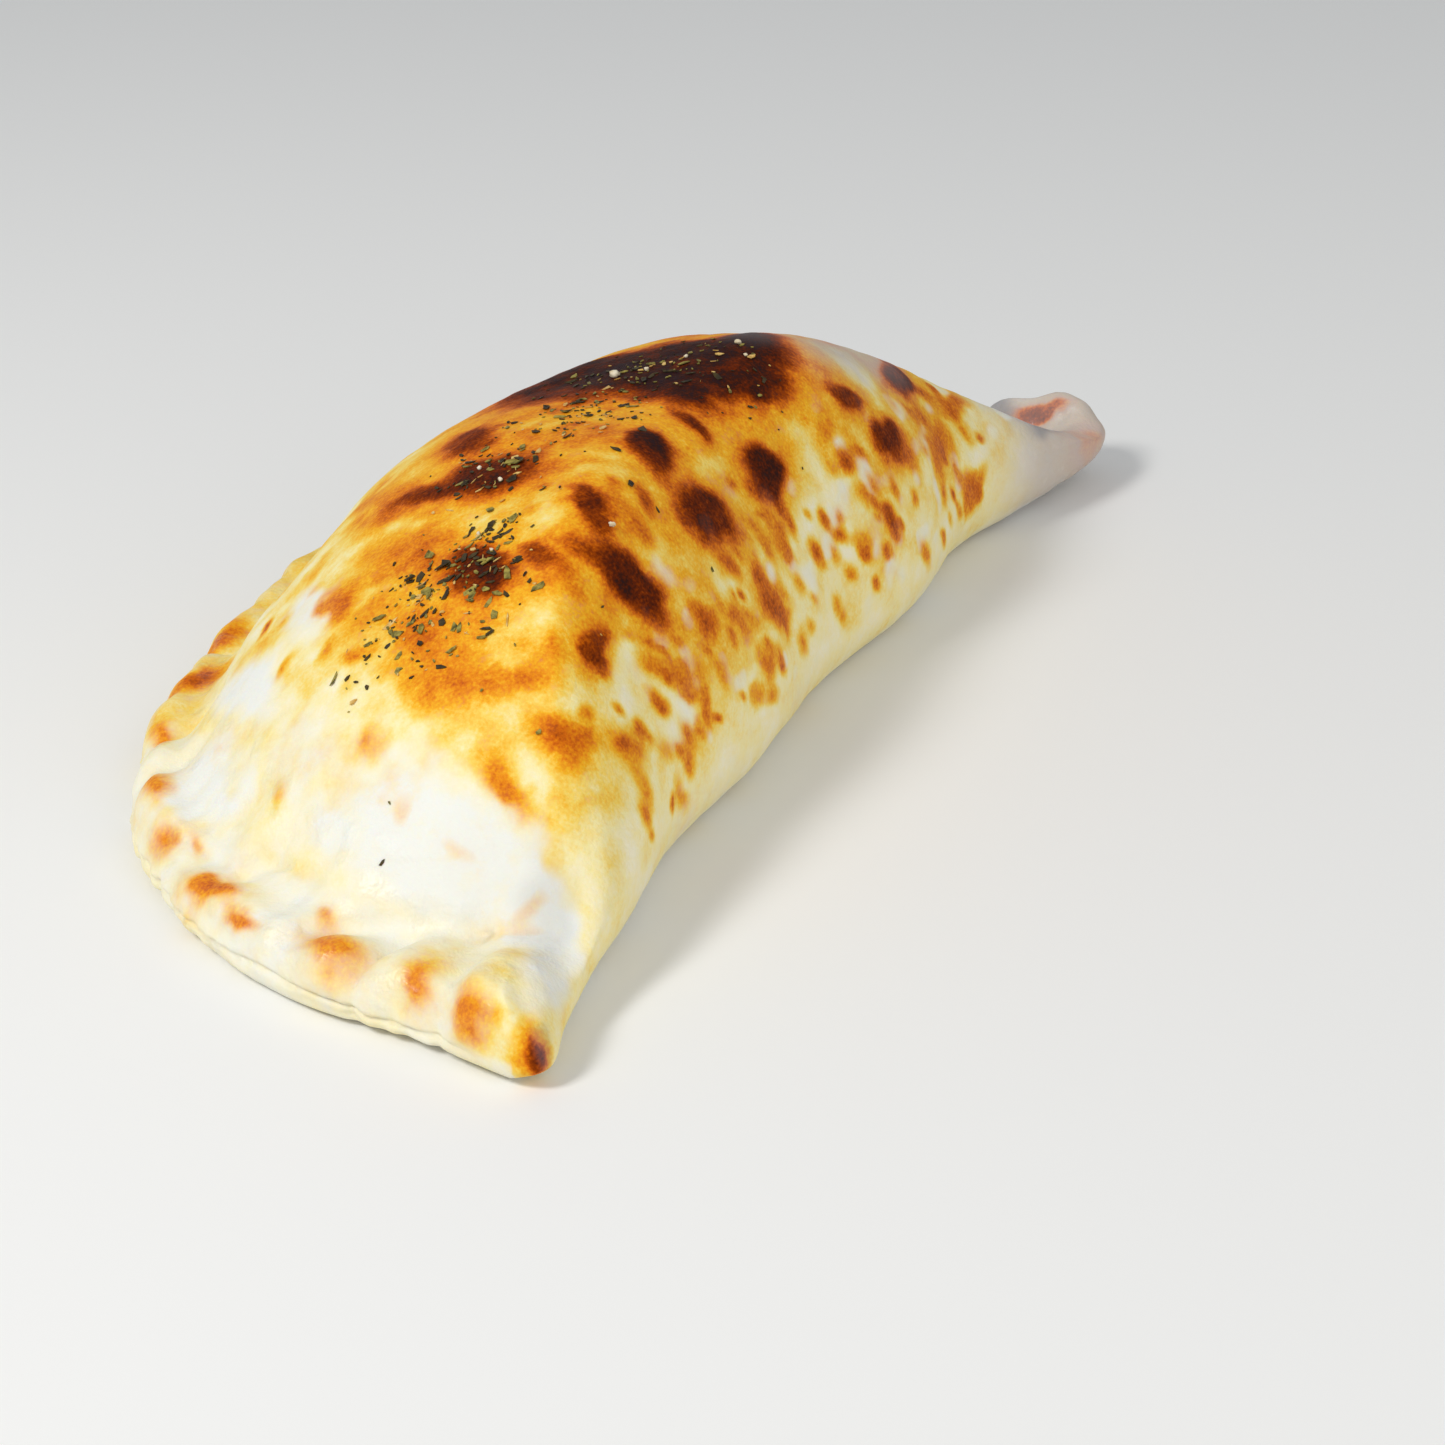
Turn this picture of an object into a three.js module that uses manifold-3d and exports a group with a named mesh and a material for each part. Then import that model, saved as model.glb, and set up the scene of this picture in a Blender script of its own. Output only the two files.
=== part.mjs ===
// A baked calzone: a 308 mm disc of dough folded in half over its filling, puffed up and sealed
// along its round edge. One closed solid, with the dried herb flakes that lie on it fused to it.
//
// Units are millimetres, +Z is up. While the dough is shaped, the middle of the fold line is at
// (0, 0): the fold runs along Y at x = 0 and the sealed half circle lies on the -X side. At the end
// the solid is moved so that the middle of its base is the origin.
import * as THREE from 'three';
import { mergeVertices } from 'three/addons/utils/BufferGeometryUtils.js';
import Module from 'manifold-3d';

// Driving dimensions of the folded, filled disc.
const DISC_RADIUS = 154;
const CROWN_HEIGHT = 70.6;
const CROWN_END_Y = 5;
const FAR_FALL = 62;
const FAR_FALL_POWER = 3;
const SLOPE_WIDTH = 110;
const SLOPE_FULLNESS = 2.5;
const SLOPE_SHARPNESS = 0.88;
const SLOPE_START_BLEND = 0.06;
const SWELL = 1.1;

// Where the flank stands steeper over the rim, and where the crown sags a little.
const STEEP_FLANK = { degrees: 78, spread: 24, sharper: 0.05 };
const CROWN_SAG = { x: -78, y: 17, reachX: 22, reachY: 26, depth: 2.4 };

// The side under the fold: its widest line, its foot and the round shoulder above it.
const FOLD_BULGE_HEIGHT = 13;
const FOLD_FOOT_RADIUS = 12;
const FOLD_SHOULDER = 48;
const TIP_SHOULDER = 15;
const FOLD_HOLLOW = 13;
const FAR_HOLLOW = { y: 100, spread: 28, depth: 4.5 };
const FOLD_RIPPLE = 1.2;
const FOLD_RIPPLE_PITCH = 78;

// The pressed rim round the half circle, with its creases and the lobes between them.
const RIM_WIDTH = 13;
const NEAR_TIP_RIM_EXTRA = 13;
const FAR_TIP_RIM_EXTRA = 6;
const RIM_HEIGHT = 11.5;
const RIM_DIP = 3;
const RIM_EDGE_HEIGHT = 4.5;
const RIM_EDGE_ROUNDING = 6.5;
const RIM_FOOT_RADIUS = 2.5;
const RIM_LIFT = 0.5;
const RIM_WANDER = 0.6;
const RIM_BULGES = [
  { degrees: 26, spread: 16, out: 4.5 },
  { degrees: 44, spread: 8, out: 3 },
  { degrees: 84, spread: 17, out: -6.5 },
  { degrees: 118, spread: 18, out: 1.5 },
];
const CREASE_ANGLES = [8, 15, 25, 51, 74, 86, 99, 113, 126, 140, 153, 165];
const CREASE_DEPTH = 2.6;
const CREASE_HALF_WIDTH = 4.5;
const LOBE_PUFF = 1.6;

// Pleats folded slantwise across the rim: the bottom of each is a line in the plan.
const PLEATS = [
  { line: [[-56, -139], [-39, -132], [-24, -131]], depth: 2 },
  { line: [[-101, -116], [-79, -124], [-71, -120]], depth: 2.8 },
  { line: [[-125, -82], [-117, -72]], depth: 2.2 },
];
const PLEAT_HALF_WIDTH = 3.2;

// The two corners where the fold meets the rim, and the dimple in the curled far one.
const NEAR_TIP = { x: -2, y: -154, rounding: 8, reach: 17, pushX: 4.5, pushY: -5, puff: 3.5, lift: 0 };
const FAR_TIP = { x: -20, y: 150, rounding: 14, reach: 30, pushX: 3, pushY: 5, puff: 9, lift: 6.5 };
const FAR_DIMPLE = { x: -22, y: 141, reachX: 12, reachY: 6.5, depth: 9 };

// The line under the crown where the two flanks meet.
const SPINE = { endY: 108, endX: -30, bow: 38 };

// The base is flat in the middle. Nearer its edge it bears on a few spots only, so that it doesn't
// rock, and the dough between them stands a hair higher.
const BASE_FLAT_SHARE = 0.35;
const BASE_RISE = 0.4;
const BEARING_ANGLES = [0, 36, 72, 108, 144, 180];

// How finely the skin is divided: places along each side, steps round a tip, then rows inward.
const STATIONS = 56;
const TIP_STEPS = 8;
const EDGE_ROWS = [0, 0.2, 0.8, 2, 4, 7, 10.5, 14.5, 19, 24];
const CROWN_ROWS = 11;
const FOOT_ROWS = 3;
const BEARING_ROW = 14;
const RAISED_ROW = 26;

// Dried herb flakes, largest first, lying in patches on the crown.
const FLAKE_SEED = 20417;
const FLAKE_COUNT = 64;
const FLAKE_TOTAL = 300;
const FLAKE_LONGEST = 4.8;
const FLAKE_SHORTEST = 1;
const FLAKE_THICKNESS = 0.75;
const FLAKE_SUNK = 0.3;
const FLAKE_CORNERS = 6;
const HERB_PATCHES = [
  { x: -54, y: -74, spreadX: 8, spreadY: 7, upTo: 0.36 },
  { x: -56, y: -91, spreadX: 11, spreadY: 7, upTo: 0.66 },
  { x: -63, y: -45, spreadX: 8, spreadY: 7, upTo: 0.78 },
  { x: -57, y: -14, spreadX: 8, spreadY: 20, upTo: 0.93 },
  { x: -45, y: -42, spreadX: 22, spreadY: 42, upTo: 1 },
];

const CRUST_COLOUR = 0xd9a45b;

// Eases from 0 to 1 as value goes from start to end; start may be the larger of the two.
function ease(start, end, value) {
  const t = THREE.MathUtils.clamp((value - start) / (end - start), 0, 1);
  return t * t * (3 - 2 * t);
}

// A bell of height 1 round a spot in the plan.
function bell(x, y, spot, reachX, reachY = reachX) {
  return Math.exp(-(((x - spot.x) / reachX) ** 2) - (((y - spot.y) / reachY) ** 2));
}

// The angle along the rim, 0 at the near tip and PI at the far one.
function rimAngle(x, y) {
  return Math.atan2(-x, -y);
}

// Lobes and creases of the pressed rim, as a height to add.
function rimRelief(angle, inward) {
  const fade = 1 - ease(RIM_WIDTH, RIM_WIDTH + 12, inward);
  let relief = LOBE_PUFF * Math.sin(9 * angle + 0.3) * 0.6 + LOBE_PUFF * Math.sin(17 * angle) * 0.5;
  CREASE_ANGLES.forEach((degrees, i) => {
    const away = (angle - THREE.MathUtils.degToRad(degrees)) * DISC_RADIUS;
    const depth = CREASE_DEPTH * (0.8 + 0.35 * Math.sin(2.4 * i));
    relief -= depth * Math.exp(-((away / CREASE_HALF_WIDTH) ** 2));
  });
  return relief * fade;
}

// How far a place in the plan lies from a line of straight stretches.
function distanceToLine(x, y, line) {
  const place = new THREE.Vector3(x, y, 0);
  const nearest = new THREE.Vector3();
  return line.slice(1).reduce((least, end, i) => {
    const stretch = new THREE.Line3(new THREE.Vector3(...line[i], 0), new THREE.Vector3(...end, 0));
    stretch.closestPointToPoint(place, true, nearest);
    return Math.min(least, nearest.distanceTo(place));
  }, Infinity);
}

// How deep the pleats cut into the rim.
function pleatDepth(x, y) {
  return PLEATS.reduce((sum, { line, depth }) => {
    const away = distanceToLine(x, y, line) / PLEAT_HALF_WIDTH;
    return sum + depth * Math.exp(-(away ** 2));
  }, 0);
}

// Width of the rim before the filling lifts it.
function rimWidth(angle) {
  const nearTip = NEAR_TIP_RIM_EXTRA * Math.exp(-(((angle - 0.03) / 0.2) ** 2));
  const farTip = FAR_TIP_RIM_EXTRA * ease(2.2, 3.0, angle);
  return RIM_WIDTH + nearTip + farTip + 2 * Math.sin(5 * angle + 1);
}

// Height of the top skin over a place in the plan, away from the rounded edges.
function topHeight(x, y) {
  const angle = rimAngle(x, y);
  const inward = DISC_RADIUS - Math.hypot(x, y);
  const width = rimWidth(angle);
  let rim = RIM_HEIGHT - RIM_DIP * ease(width * 0.35, width * 0.95, inward) + rimRelief(angle, inward);
  rim += NEAR_TIP.puff * bell(x, y, NEAR_TIP, 20) + FAR_TIP.puff * bell(x, y, FAR_TIP, FAR_TIP.reach);
  rim -= FAR_DIMPLE.depth * bell(x, y, FAR_DIMPLE, FAR_DIMPLE.reachX, FAR_DIMPLE.reachY);
  rim -= pleatDepth(x, y);
  const past = Math.max(0, (y - CROWN_END_Y) / DISC_RADIUS);
  const sag = CROWN_SAG.depth * bell(x, y, CROWN_SAG, CROWN_SAG.reachX, CROWN_SAG.reachY);
  const crown = CROWN_HEIGHT - FAR_FALL * past ** FAR_FALL_POWER - sag;
  const run = (inward - width) / SLOPE_WIDTH;
  const climb = Math.min(1, 0.5 * (run + Math.sqrt(run * run + SLOPE_START_BLEND ** 2)));
  const fromSteep = (THREE.MathUtils.radToDeg(angle) - STEEP_FLANK.degrees) / STEEP_FLANK.spread;
  const sharpness = SLOPE_SHARPNESS - STEEP_FLANK.sharper * Math.exp(-(fromSteep ** 2));
  const rise = (1 - (1 - climb) ** SLOPE_FULLNESS) ** sharpness;
  const swell = SWELL * Math.sin(0.055 * x + 0.031 * y + 1) * Math.sin(0.045 * y - 0.02 * x + 0.5);
  return rim + (crown + 2 * swell - rim) * rise;
}

// How far the rim stands out of a true circle.
function rimOutset(angle) {
  const degrees = THREE.MathUtils.radToDeg(angle);
  const wander = RIM_WANDER * (Math.sin(13.1 * angle + 2) + 0.6 * Math.sin(23 * angle + 1));
  return RIM_BULGES.reduce(
    (sum, bulge) => sum + bulge.out * Math.exp(-(((degrees - bulge.degrees) / bulge.spread) ** 2)),
    wander,
  );
}

// Moves a place of the plain half-disc plan onto the real, slightly uneven outline.
function settle(x, y) {
  const angle = rimAngle(x, y);
  const foldShare = ease(-60, 0, x) * ease(-179, -142, y) * ease(179, 142, y);
  const along = THREE.MathUtils.clamp((y + DISC_RADIUS) / (2 * DISC_RADIUS), 0, 1);
  const ripple = FOLD_RIPPLE * Math.sin((2 * Math.PI * (y + 134)) / FOLD_RIPPLE_PITCH);
  const hollow = FOLD_HOLLOW * Math.sin(Math.PI * along) ** 0.7
    + FAR_HOLLOW.depth * Math.exp(-(((y - FAR_HOLLOW.y) / FAR_HOLLOW.spread) ** 2));
  const fold = (1 - hollow + ripple) * foldShare;
  const rim = rimOutset(angle) * (Math.min(1, Math.hypot(x, y) / DISC_RADIUS) ** 6) * ease(-5, -35, x);
  const near = bell(x, y, NEAR_TIP, NEAR_TIP.reach);
  const far = bell(x, y, FAR_TIP, FAR_TIP.reach);
  return [
    x + fold - Math.sin(angle) * rim + NEAR_TIP.pushX * near + FAR_TIP.pushX * far,
    y - Math.cos(angle) * rim + NEAR_TIP.pushY * near + FAR_TIP.pushY * far,
  ];
}

// The arc that rounds a corner between the fold and the rim.
function tipArc(rounding) {
  const centreY = Math.sqrt((DISC_RADIUS - rounding) ** 2 - rounding ** 2);
  const angle = Math.asin(rounding / (DISC_RADIUS - rounding));
  return { rounding, centreY, angle, sweep: Math.PI / 2 + angle };
}

// The closed outline of the half disc, each place paired with the spine place it faces. It runs
// round the near tip, along the rim, round the far tip and back along the fold.
function outlinePairs() {
  const near = tipArc(NEAR_TIP.rounding);
  const far = tipArc(FAR_TIP.rounding);
  const spineAt = (share) => [
    SPINE.endX - SPINE.bow * Math.sin(Math.PI * share),
    -SPINE.endY + 2 * SPINE.endY * share,
  ];
  const tipPlace = (arc, turn, side) => [
    arc.rounding * (Math.cos(turn) - 1),
    side * (arc.centreY + arc.rounding * Math.sin(turn)),
  ];
  const rimPlace = (share) => {
    const angle = near.angle + (Math.PI - near.angle - far.angle) * share;
    return [-DISC_RADIUS * Math.sin(angle), -DISC_RADIUS * Math.cos(angle)];
  };
  const foldPlace = (share) => {
    const eased = 0.225 * (1 - Math.cos(Math.PI * share)) + 0.55 * share;
    return [0, -near.centreY + (near.centreY + far.centreY) * eased];
  };
  const pairs = [];
  const last = STATIONS - 1;
  for (let i = 0; i < TIP_STEPS; i += 1) {
    pairs.push([tipPlace(near, (near.sweep * i) / TIP_STEPS, -1), spineAt(0)]);
  }
  for (let i = 0; i < last; i += 1) pairs.push([rimPlace(i / last), spineAt(i / last)]);
  for (let i = TIP_STEPS; i > 0; i -= 1) {
    pairs.push([tipPlace(far, (far.sweep * i) / TIP_STEPS, 1), spineAt(1)]);
  }
  for (let i = last; i > 0; i -= 1) pairs.push([foldPlace(i / last), spineAt(i / last)]);
  return pairs;
}

// What the edge looks like at one place of the outline: how round, how high, how far lifted.
function edgeAt([x, y]) {
  const foldShare = ease(-NEAR_TIP.rounding, -2, x);
  const middle = ease(-145, -60, y) * ease(146, 62, y);
  const shoulder = TIP_SHOULDER + (FOLD_SHOULDER - TIP_SHOULDER) * middle;
  const far = bell(x, y, FAR_TIP, FAR_TIP.reach);
  const lift = RIM_LIFT * (1 - foldShare) * (1 + Math.sin(11 * rimAngle(x, y)));
  const bulge = (FOLD_BULGE_HEIGHT - RIM_EDGE_HEIGHT) * foldShare * ease(-154, -114, y) * ease(160, 124, y);
  return {
    rounding: RIM_EDGE_ROUNDING + (shoulder - RIM_EDGE_ROUNDING) * foldShare,
    height: RIM_EDGE_HEIGHT + bulge + FAR_TIP.lift * far,
    foot: RIM_FOOT_RADIUS + (FOLD_FOOT_RADIUS - RIM_FOOT_RADIUS) * foldShare,
    lift: BASE_RISE + lift + FAR_TIP.lift * far,
  };
}

// One row of skin points: `reach` gives the distance inward and the height for each place.
function skinRow(pairs, reach) {
  return pairs.map(([start, end]) => {
    const length = Math.hypot(end[0] - start[0], end[1] - start[1]);
    const edge = edgeAt(start);
    const { inward, heightAt } = reach(edge, length);
    const share = Math.min(1, inward / length);
    const x = start[0] + (end[0] - start[0]) * share;
    const y = start[1] + (end[1] - start[1]) * share;
    const [placedX, placedY] = settle(x, y);
    return new THREE.Vector3(placedX, placedY, heightAt(x, y));
  });
}

// Height of the skin where the rounded edge runs into the top.
function roundedHeight(edge, inward, x, y) {
  const away = Math.min(1, inward / edge.rounding);
  const top = Math.max(topHeight(x, y), edge.height + 1);
  return edge.height + (top - edge.height) * Math.sqrt(1 - (1 - away) ** 2);
}

// The rows of the base, from its middle outward.
function baseRows(pairs) {
  const middle = skinRow(pairs, (edge, length) => ({ inward: length, heightAt: () => 0 }));
  const flat = skinRow(pairs, (edge, length) => ({
    inward: length * (1 - BASE_FLAT_SHARE),
    heightAt: () => 0,
  }));
  const raised = skinRow(pairs, () => ({ inward: RAISED_ROW, heightAt: () => BASE_RISE }));
  const bearing = skinRow(pairs, () => ({ inward: BEARING_ROW, heightAt: () => BASE_RISE }));
  const underRim = bearing.slice(0, STATIONS + 2 * TIP_STEPS);
  BEARING_ANGLES.forEach((degrees) => {
    const turn = THREE.MathUtils.degToRad(degrees);
    const away = underRim.map((place) => Math.abs(rimAngle(place.x, place.y) - turn));
    underRim[away.indexOf(Math.min(...away))].z = 0;
  });
  return [middle, flat, raised, bearing];
}

// All rows of the dough's skin, from the middle of the base round the edge to the crown.
function doughRows(pairs) {
  const rows = baseRows(pairs);
  for (let step = FOOT_ROWS; step > 0; step -= 1) {
    const turn = ((Math.PI / 2) * step) / FOOT_ROWS;
    rows.push(skinRow(pairs, (edge) => ({
      inward: edge.foot * (1 - Math.cos(turn)),
      heightAt: () => edge.height - (edge.height - edge.lift) * Math.sin(turn),
    })));
  }
  EDGE_ROWS.forEach((inward) => {
    rows.push(skinRow(pairs, (edge) => ({
      inward,
      heightAt: (x, y) => roundedHeight(edge, inward, x, y),
    })));
  });
  const lastEdgeRow = EDGE_ROWS[EDGE_ROWS.length - 1];
  for (let step = 1; step <= CROWN_ROWS; step += 1) {
    rows.push(skinRow(pairs, (edge, length) => {
      const inward = lastEdgeRow + ((length - lastEdgeRow) * step) / CROWN_ROWS;
      return { inward, heightAt: (x, y) => roundedHeight(edge, inward, x, y) };
    }));
  }
  return rows;
}

// Joins rings of points into one closed mesh with merged corners and no empty triangles.
function closedSkin(rows) {
  const around = rows[0].length;
  const flat = rows.flat();
  const faces = [];
  for (let row = 0; row < rows.length - 1; row += 1) {
    for (let i = 0; i < around; i += 1) {
      const next = (i + 1) % around;
      const a = row * around + i;
      const b = row * around + next;
      const c = (row + 1) * around + next;
      const d = (row + 1) * around + i;
      if (flat[a].distanceTo(flat[c]) < flat[b].distanceTo(flat[d])) faces.push(a, c, b, a, d, c);
      else faces.push(a, d, b, b, d, c);
    }
  }
  const geometry = new THREE.BufferGeometry();
  geometry.setAttribute('position', new THREE.Float32BufferAttribute(flat.flatMap((p) => p.toArray()), 3));
  geometry.setIndex(faces);
  const merged = mergeVertices(geometry, 1e-3);
  const kept = [];
  const index = merged.index.array;
  for (let i = 0; i < index.length; i += 3) {
    const [a, b, c] = [index[i], index[i + 1], index[i + 2]];
    if (a !== b && b !== c && c !== a) kept.push(a, b, c);
  }
  merged.setIndex(kept);
  return merged;
}

// A repeatable stream of numbers from 0 to 1.
function numberStream(seed) {
  let state = seed;
  return () => {
    state = (state * 16807) % 2147483647;
    return state / 2147483647;
  };
}

// Where the flakes lie and how large they are: place, length, width and turn.
function flakePlan() {
  const draw = numberStream(FLAKE_SEED);
  const spread = () => draw() + draw() + draw() - 1.5;
  const flakes = [];
  for (let i = 0; i < FLAKE_COUNT; i += 1) {
    const pick = draw();
    const patch = HERB_PATCHES.find((candidate) => pick <= candidate.upTo);
    const size = 1 - i / FLAKE_TOTAL;
    flakes.push({
      x: patch.x + 1.6 * patch.spreadX * spread(),
      y: patch.y + 1.6 * patch.spreadY * spread(),
      length: FLAKE_SHORTEST + (FLAKE_LONGEST - FLAKE_SHORTEST) * size ** 3,
      slimness: 0.36 + 0.3 * draw(),
      turn: Math.PI * draw(),
    });
  }
  return flakes;
}

// A flake: a small six-cornered plate, thinner towards its ends, lying on the crust.
function flakeGeometry({ length, slimness }) {
  const plate = new THREE.CylinderGeometry(0.5, 0.5, FLAKE_THICKNESS, FLAKE_CORNERS);
  plate.rotateX(Math.PI / 2);
  plate.scale(length, length * slimness, 1);
  return plate;
}

function toManifold(wasm, geometry) {
  const bare = geometry.clone();
  bare.deleteAttribute('normal');
  bare.deleteAttribute('uv');
  const merged = mergeVertices(bare, 1e-3);
  return new wasm.Manifold(new wasm.Mesh({
    numProp: 3,
    vertProperties: new Float32Array(merged.attributes.position.array),
    triVerts: new Uint32Array(merged.index.array),
  }));
}

function fromManifold(solid) {
  const mesh = solid.getMesh();
  const geometry = new THREE.BufferGeometry();
  geometry.setAttribute('position', new THREE.BufferAttribute(mesh.vertProperties, 3));
  geometry.setIndex(new THREE.BufferAttribute(mesh.triVerts, 1));
  return geometry;
}

// Lays each flake on the dough, tilted with the skin under it and sunk a little way in.
function withFlakes(wasm, dough) {
  const skin = new THREE.Mesh(dough, new THREE.MeshStandardMaterial({ side: THREE.DoubleSide }));
  skin.updateMatrixWorld();
  const down = new THREE.Vector3(0, 0, -1);
  const up = new THREE.Vector3(0, 0, 1);
  let solid = toManifold(wasm, dough);
  flakePlan().forEach((flake) => {
    const ray = new THREE.Raycaster(new THREE.Vector3(flake.x, flake.y, 200), down);
    const hit = ray.intersectObject(skin)[0];
    if (!hit) return;
    const normal = hit.face.normal.clone();
    if (normal.z < 0) normal.negate();
    const lean = new THREE.Quaternion().setFromUnitVectors(up, normal);
    const turn = new THREE.Quaternion().setFromAxisAngle(up, flake.turn);
    const sink = FLAKE_THICKNESS / 2 - FLAKE_SUNK;
    const place = hit.point.clone().addScaledVector(normal, sink);
    const plate = flakeGeometry(flake);
    plate.applyMatrix4(new THREE.Matrix4().compose(place, lean.multiply(turn), new THREE.Vector3(1, 1, 1)));
    solid = solid.add(toManifold(wasm, plate));
  });
  return fromManifold(solid);
}

const wasm = await Module();
wasm.setup();

const crustGeometry = withFlakes(wasm, closedSkin(doughRows(outlinePairs())));
crustGeometry.computeBoundingBox();
const box = crustGeometry.boundingBox;
crustGeometry.translate(-(box.min.x + box.max.x) / 2, -(box.min.y + box.max.y) / 2, -box.min.z);
crustGeometry.computeVertexNormals();

const crust = new THREE.Mesh(
  crustGeometry,
  new THREE.MeshStandardMaterial({ color: CRUST_COLOUR, roughness: 0.75, metalness: 0 }),
);
crust.name = 'crust';

const calzone = new THREE.Group();
calzone.add(crust);

export default calzone;
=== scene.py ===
"""A baked calzone: a disc of pizza dough folded over its filling and sealed round its edge.

The crust is one skin of dough with blisters, creases and a dusting of flour, and dried oregano lies
on its crown. Dough is shaped in millimetres, with the middle of the fold line at (0, 0): the fold
runs along Y at x = 0 and the sealed half circle lies on the -X side. The finished pieces are in
metres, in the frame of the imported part.
"""

import itertools
import logging
import math
from dataclasses import dataclass, field
from enum import Enum

import bmesh
import bpy
import numpy as np
from mathutils import Matrix, Quaternion, Vector
from mathutils.bvhtree import BVHTree


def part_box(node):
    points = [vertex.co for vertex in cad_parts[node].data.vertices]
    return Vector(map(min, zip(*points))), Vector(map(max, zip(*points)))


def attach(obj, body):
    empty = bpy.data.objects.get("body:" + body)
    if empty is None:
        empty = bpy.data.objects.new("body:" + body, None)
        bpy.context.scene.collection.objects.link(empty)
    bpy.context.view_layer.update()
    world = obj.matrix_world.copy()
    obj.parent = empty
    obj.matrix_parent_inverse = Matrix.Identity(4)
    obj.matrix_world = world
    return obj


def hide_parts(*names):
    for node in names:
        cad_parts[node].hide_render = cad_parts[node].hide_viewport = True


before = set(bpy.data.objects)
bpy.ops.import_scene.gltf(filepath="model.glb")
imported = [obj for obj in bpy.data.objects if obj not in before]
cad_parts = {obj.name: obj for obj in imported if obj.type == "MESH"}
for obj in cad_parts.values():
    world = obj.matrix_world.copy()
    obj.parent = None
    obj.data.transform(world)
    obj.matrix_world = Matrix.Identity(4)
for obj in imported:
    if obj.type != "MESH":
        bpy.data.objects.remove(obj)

MM = 0.001
ROOT_BODY = "root"
CRUST_NODE = "crust"

CELL_PRIMES = np.array([374761393, 668265263, 1440662683])
MIXING_PRIME = 1274126177
LOW_BITS = 0xFFFFFFFF
HALF_RANGE = 0x7FFFFFFF

log = logging.getLogger("calzone")


def ease(start: float, end: float, value: np.ndarray) -> np.ndarray:
    """Ease from 0 to 1 as value goes from start to end.

    Args:
        start: Where the result is still 0. It may be the larger of the two.
        end: Where the result has become 1.
        value: Numbers to ease.

    Returns:
        Shares from 0 to 1, one for each number.
    """
    share = np.clip((value - start) / (end - start), 0.0, 1.0)
    return share * share * (3.0 - 2.0 * share)


def bell(*away: np.ndarray) -> np.ndarray:
    """Fall like a bell from 1 at a middle, by how many half widths off it places lie each way."""
    return np.exp(-sum(part**2 for part in away))


def waves(parts: "tuple[tuple[float, float, float], ...]", turn: np.ndarray) -> np.ndarray:
    """Add up sine waves, each given by its height, its pace and its start."""
    return sum(height * np.sin(pace * turn + start) for height, pace, start in parts)


def unit(rows: np.ndarray) -> np.ndarray:
    """Scale each row to length 1."""
    return rows / np.maximum(np.linalg.norm(rows, axis=-1, keepdims=True), 1e-9)


@dataclass(frozen=True)
class SmoothNoise:
    """Repeatable smooth random bumps in space, from -1 to 1."""

    seed: int
    pitch: float

    def at(self, places: np.ndarray) -> np.ndarray:
        """Read the noise.

        Args:
            places: Points, one a row, in millimetres.

        Returns:
            One number from -1 to 1 for each point.
        """
        scaled = places / self.pitch
        cell = np.floor(scaled).astype(np.int64)
        local = scaled - cell
        local = local * local * (3.0 - 2.0 * local)
        total = np.zeros(len(places))
        for corner in itertools.product((0, 1), repeat=3):
            nearness = np.where(corner, local, 1.0 - local).prod(axis=1)
            total += nearness * self._lattice(cell + corner)
        return total

    def _lattice(self, cell: np.ndarray) -> np.ndarray:
        """Give each corner of the lattice its own number from -1 to 1."""
        mixed = (cell * CELL_PRIMES).sum(axis=1)
        mixed = (mixed + self.seed * MIXING_PRIME) & LOW_BITS
        mixed = ((mixed ^ (mixed >> 13)) * MIXING_PRIME) & LOW_BITS
        mixed ^= mixed >> 16
        return mixed / HALF_RANGE - 1.0


def layered(layers: "tuple[tuple[float, SmoothNoise], ...]", places: np.ndarray) -> np.ndarray:
    """Add up layers of noise, each a pair of its strength and the noise."""
    return sum(strength * noise.at(places) for strength, noise in layers)


class NumberStream:
    """A repeatable stream of numbers from 0 to 1."""

    factor = 16807
    modulus = 2147483647

    def __init__(self, seed: int) -> None:
        """Start the stream at a whole number."""
        self._state = seed

    def draw(self) -> float:
        """Return the next number."""
        self._state = (self._state * self.factor) % self.modulus
        return self._state / self.modulus

    def between(self, low: float, high: float) -> float:
        """Return the next number, scaled to lie between two limits."""
        return low + (high - low) * self.draw()

    def spread(self) -> float:
        """Return a number near 0, seldom as far off as 1.5."""
        return self.draw() + self.draw() + self.draw() - 1.5


@dataclass(frozen=True)
class Zone:
    """A part of the crust with soft borders.

    Each border is a pair: where the zone starts and where it is whole, across the fold, along it and
    in height over the base, in millimetres. Without a border it has no end that way.
    """

    across: tuple = ()
    along: tuple = ()
    height: tuple = ()

    def share(self, points: np.ndarray) -> np.ndarray:
        """Tell how much points belong to the zone.

        Args:
            points: Points of the skin, one a row.

        Returns:
            Shares from 0 to 1, one for each point.
        """
        total = np.ones(len(points))
        for border, value in zip((self.across, self.along, self.height), points.T):
            if border:
                total = total * ease(*border, value)
        return total


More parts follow.
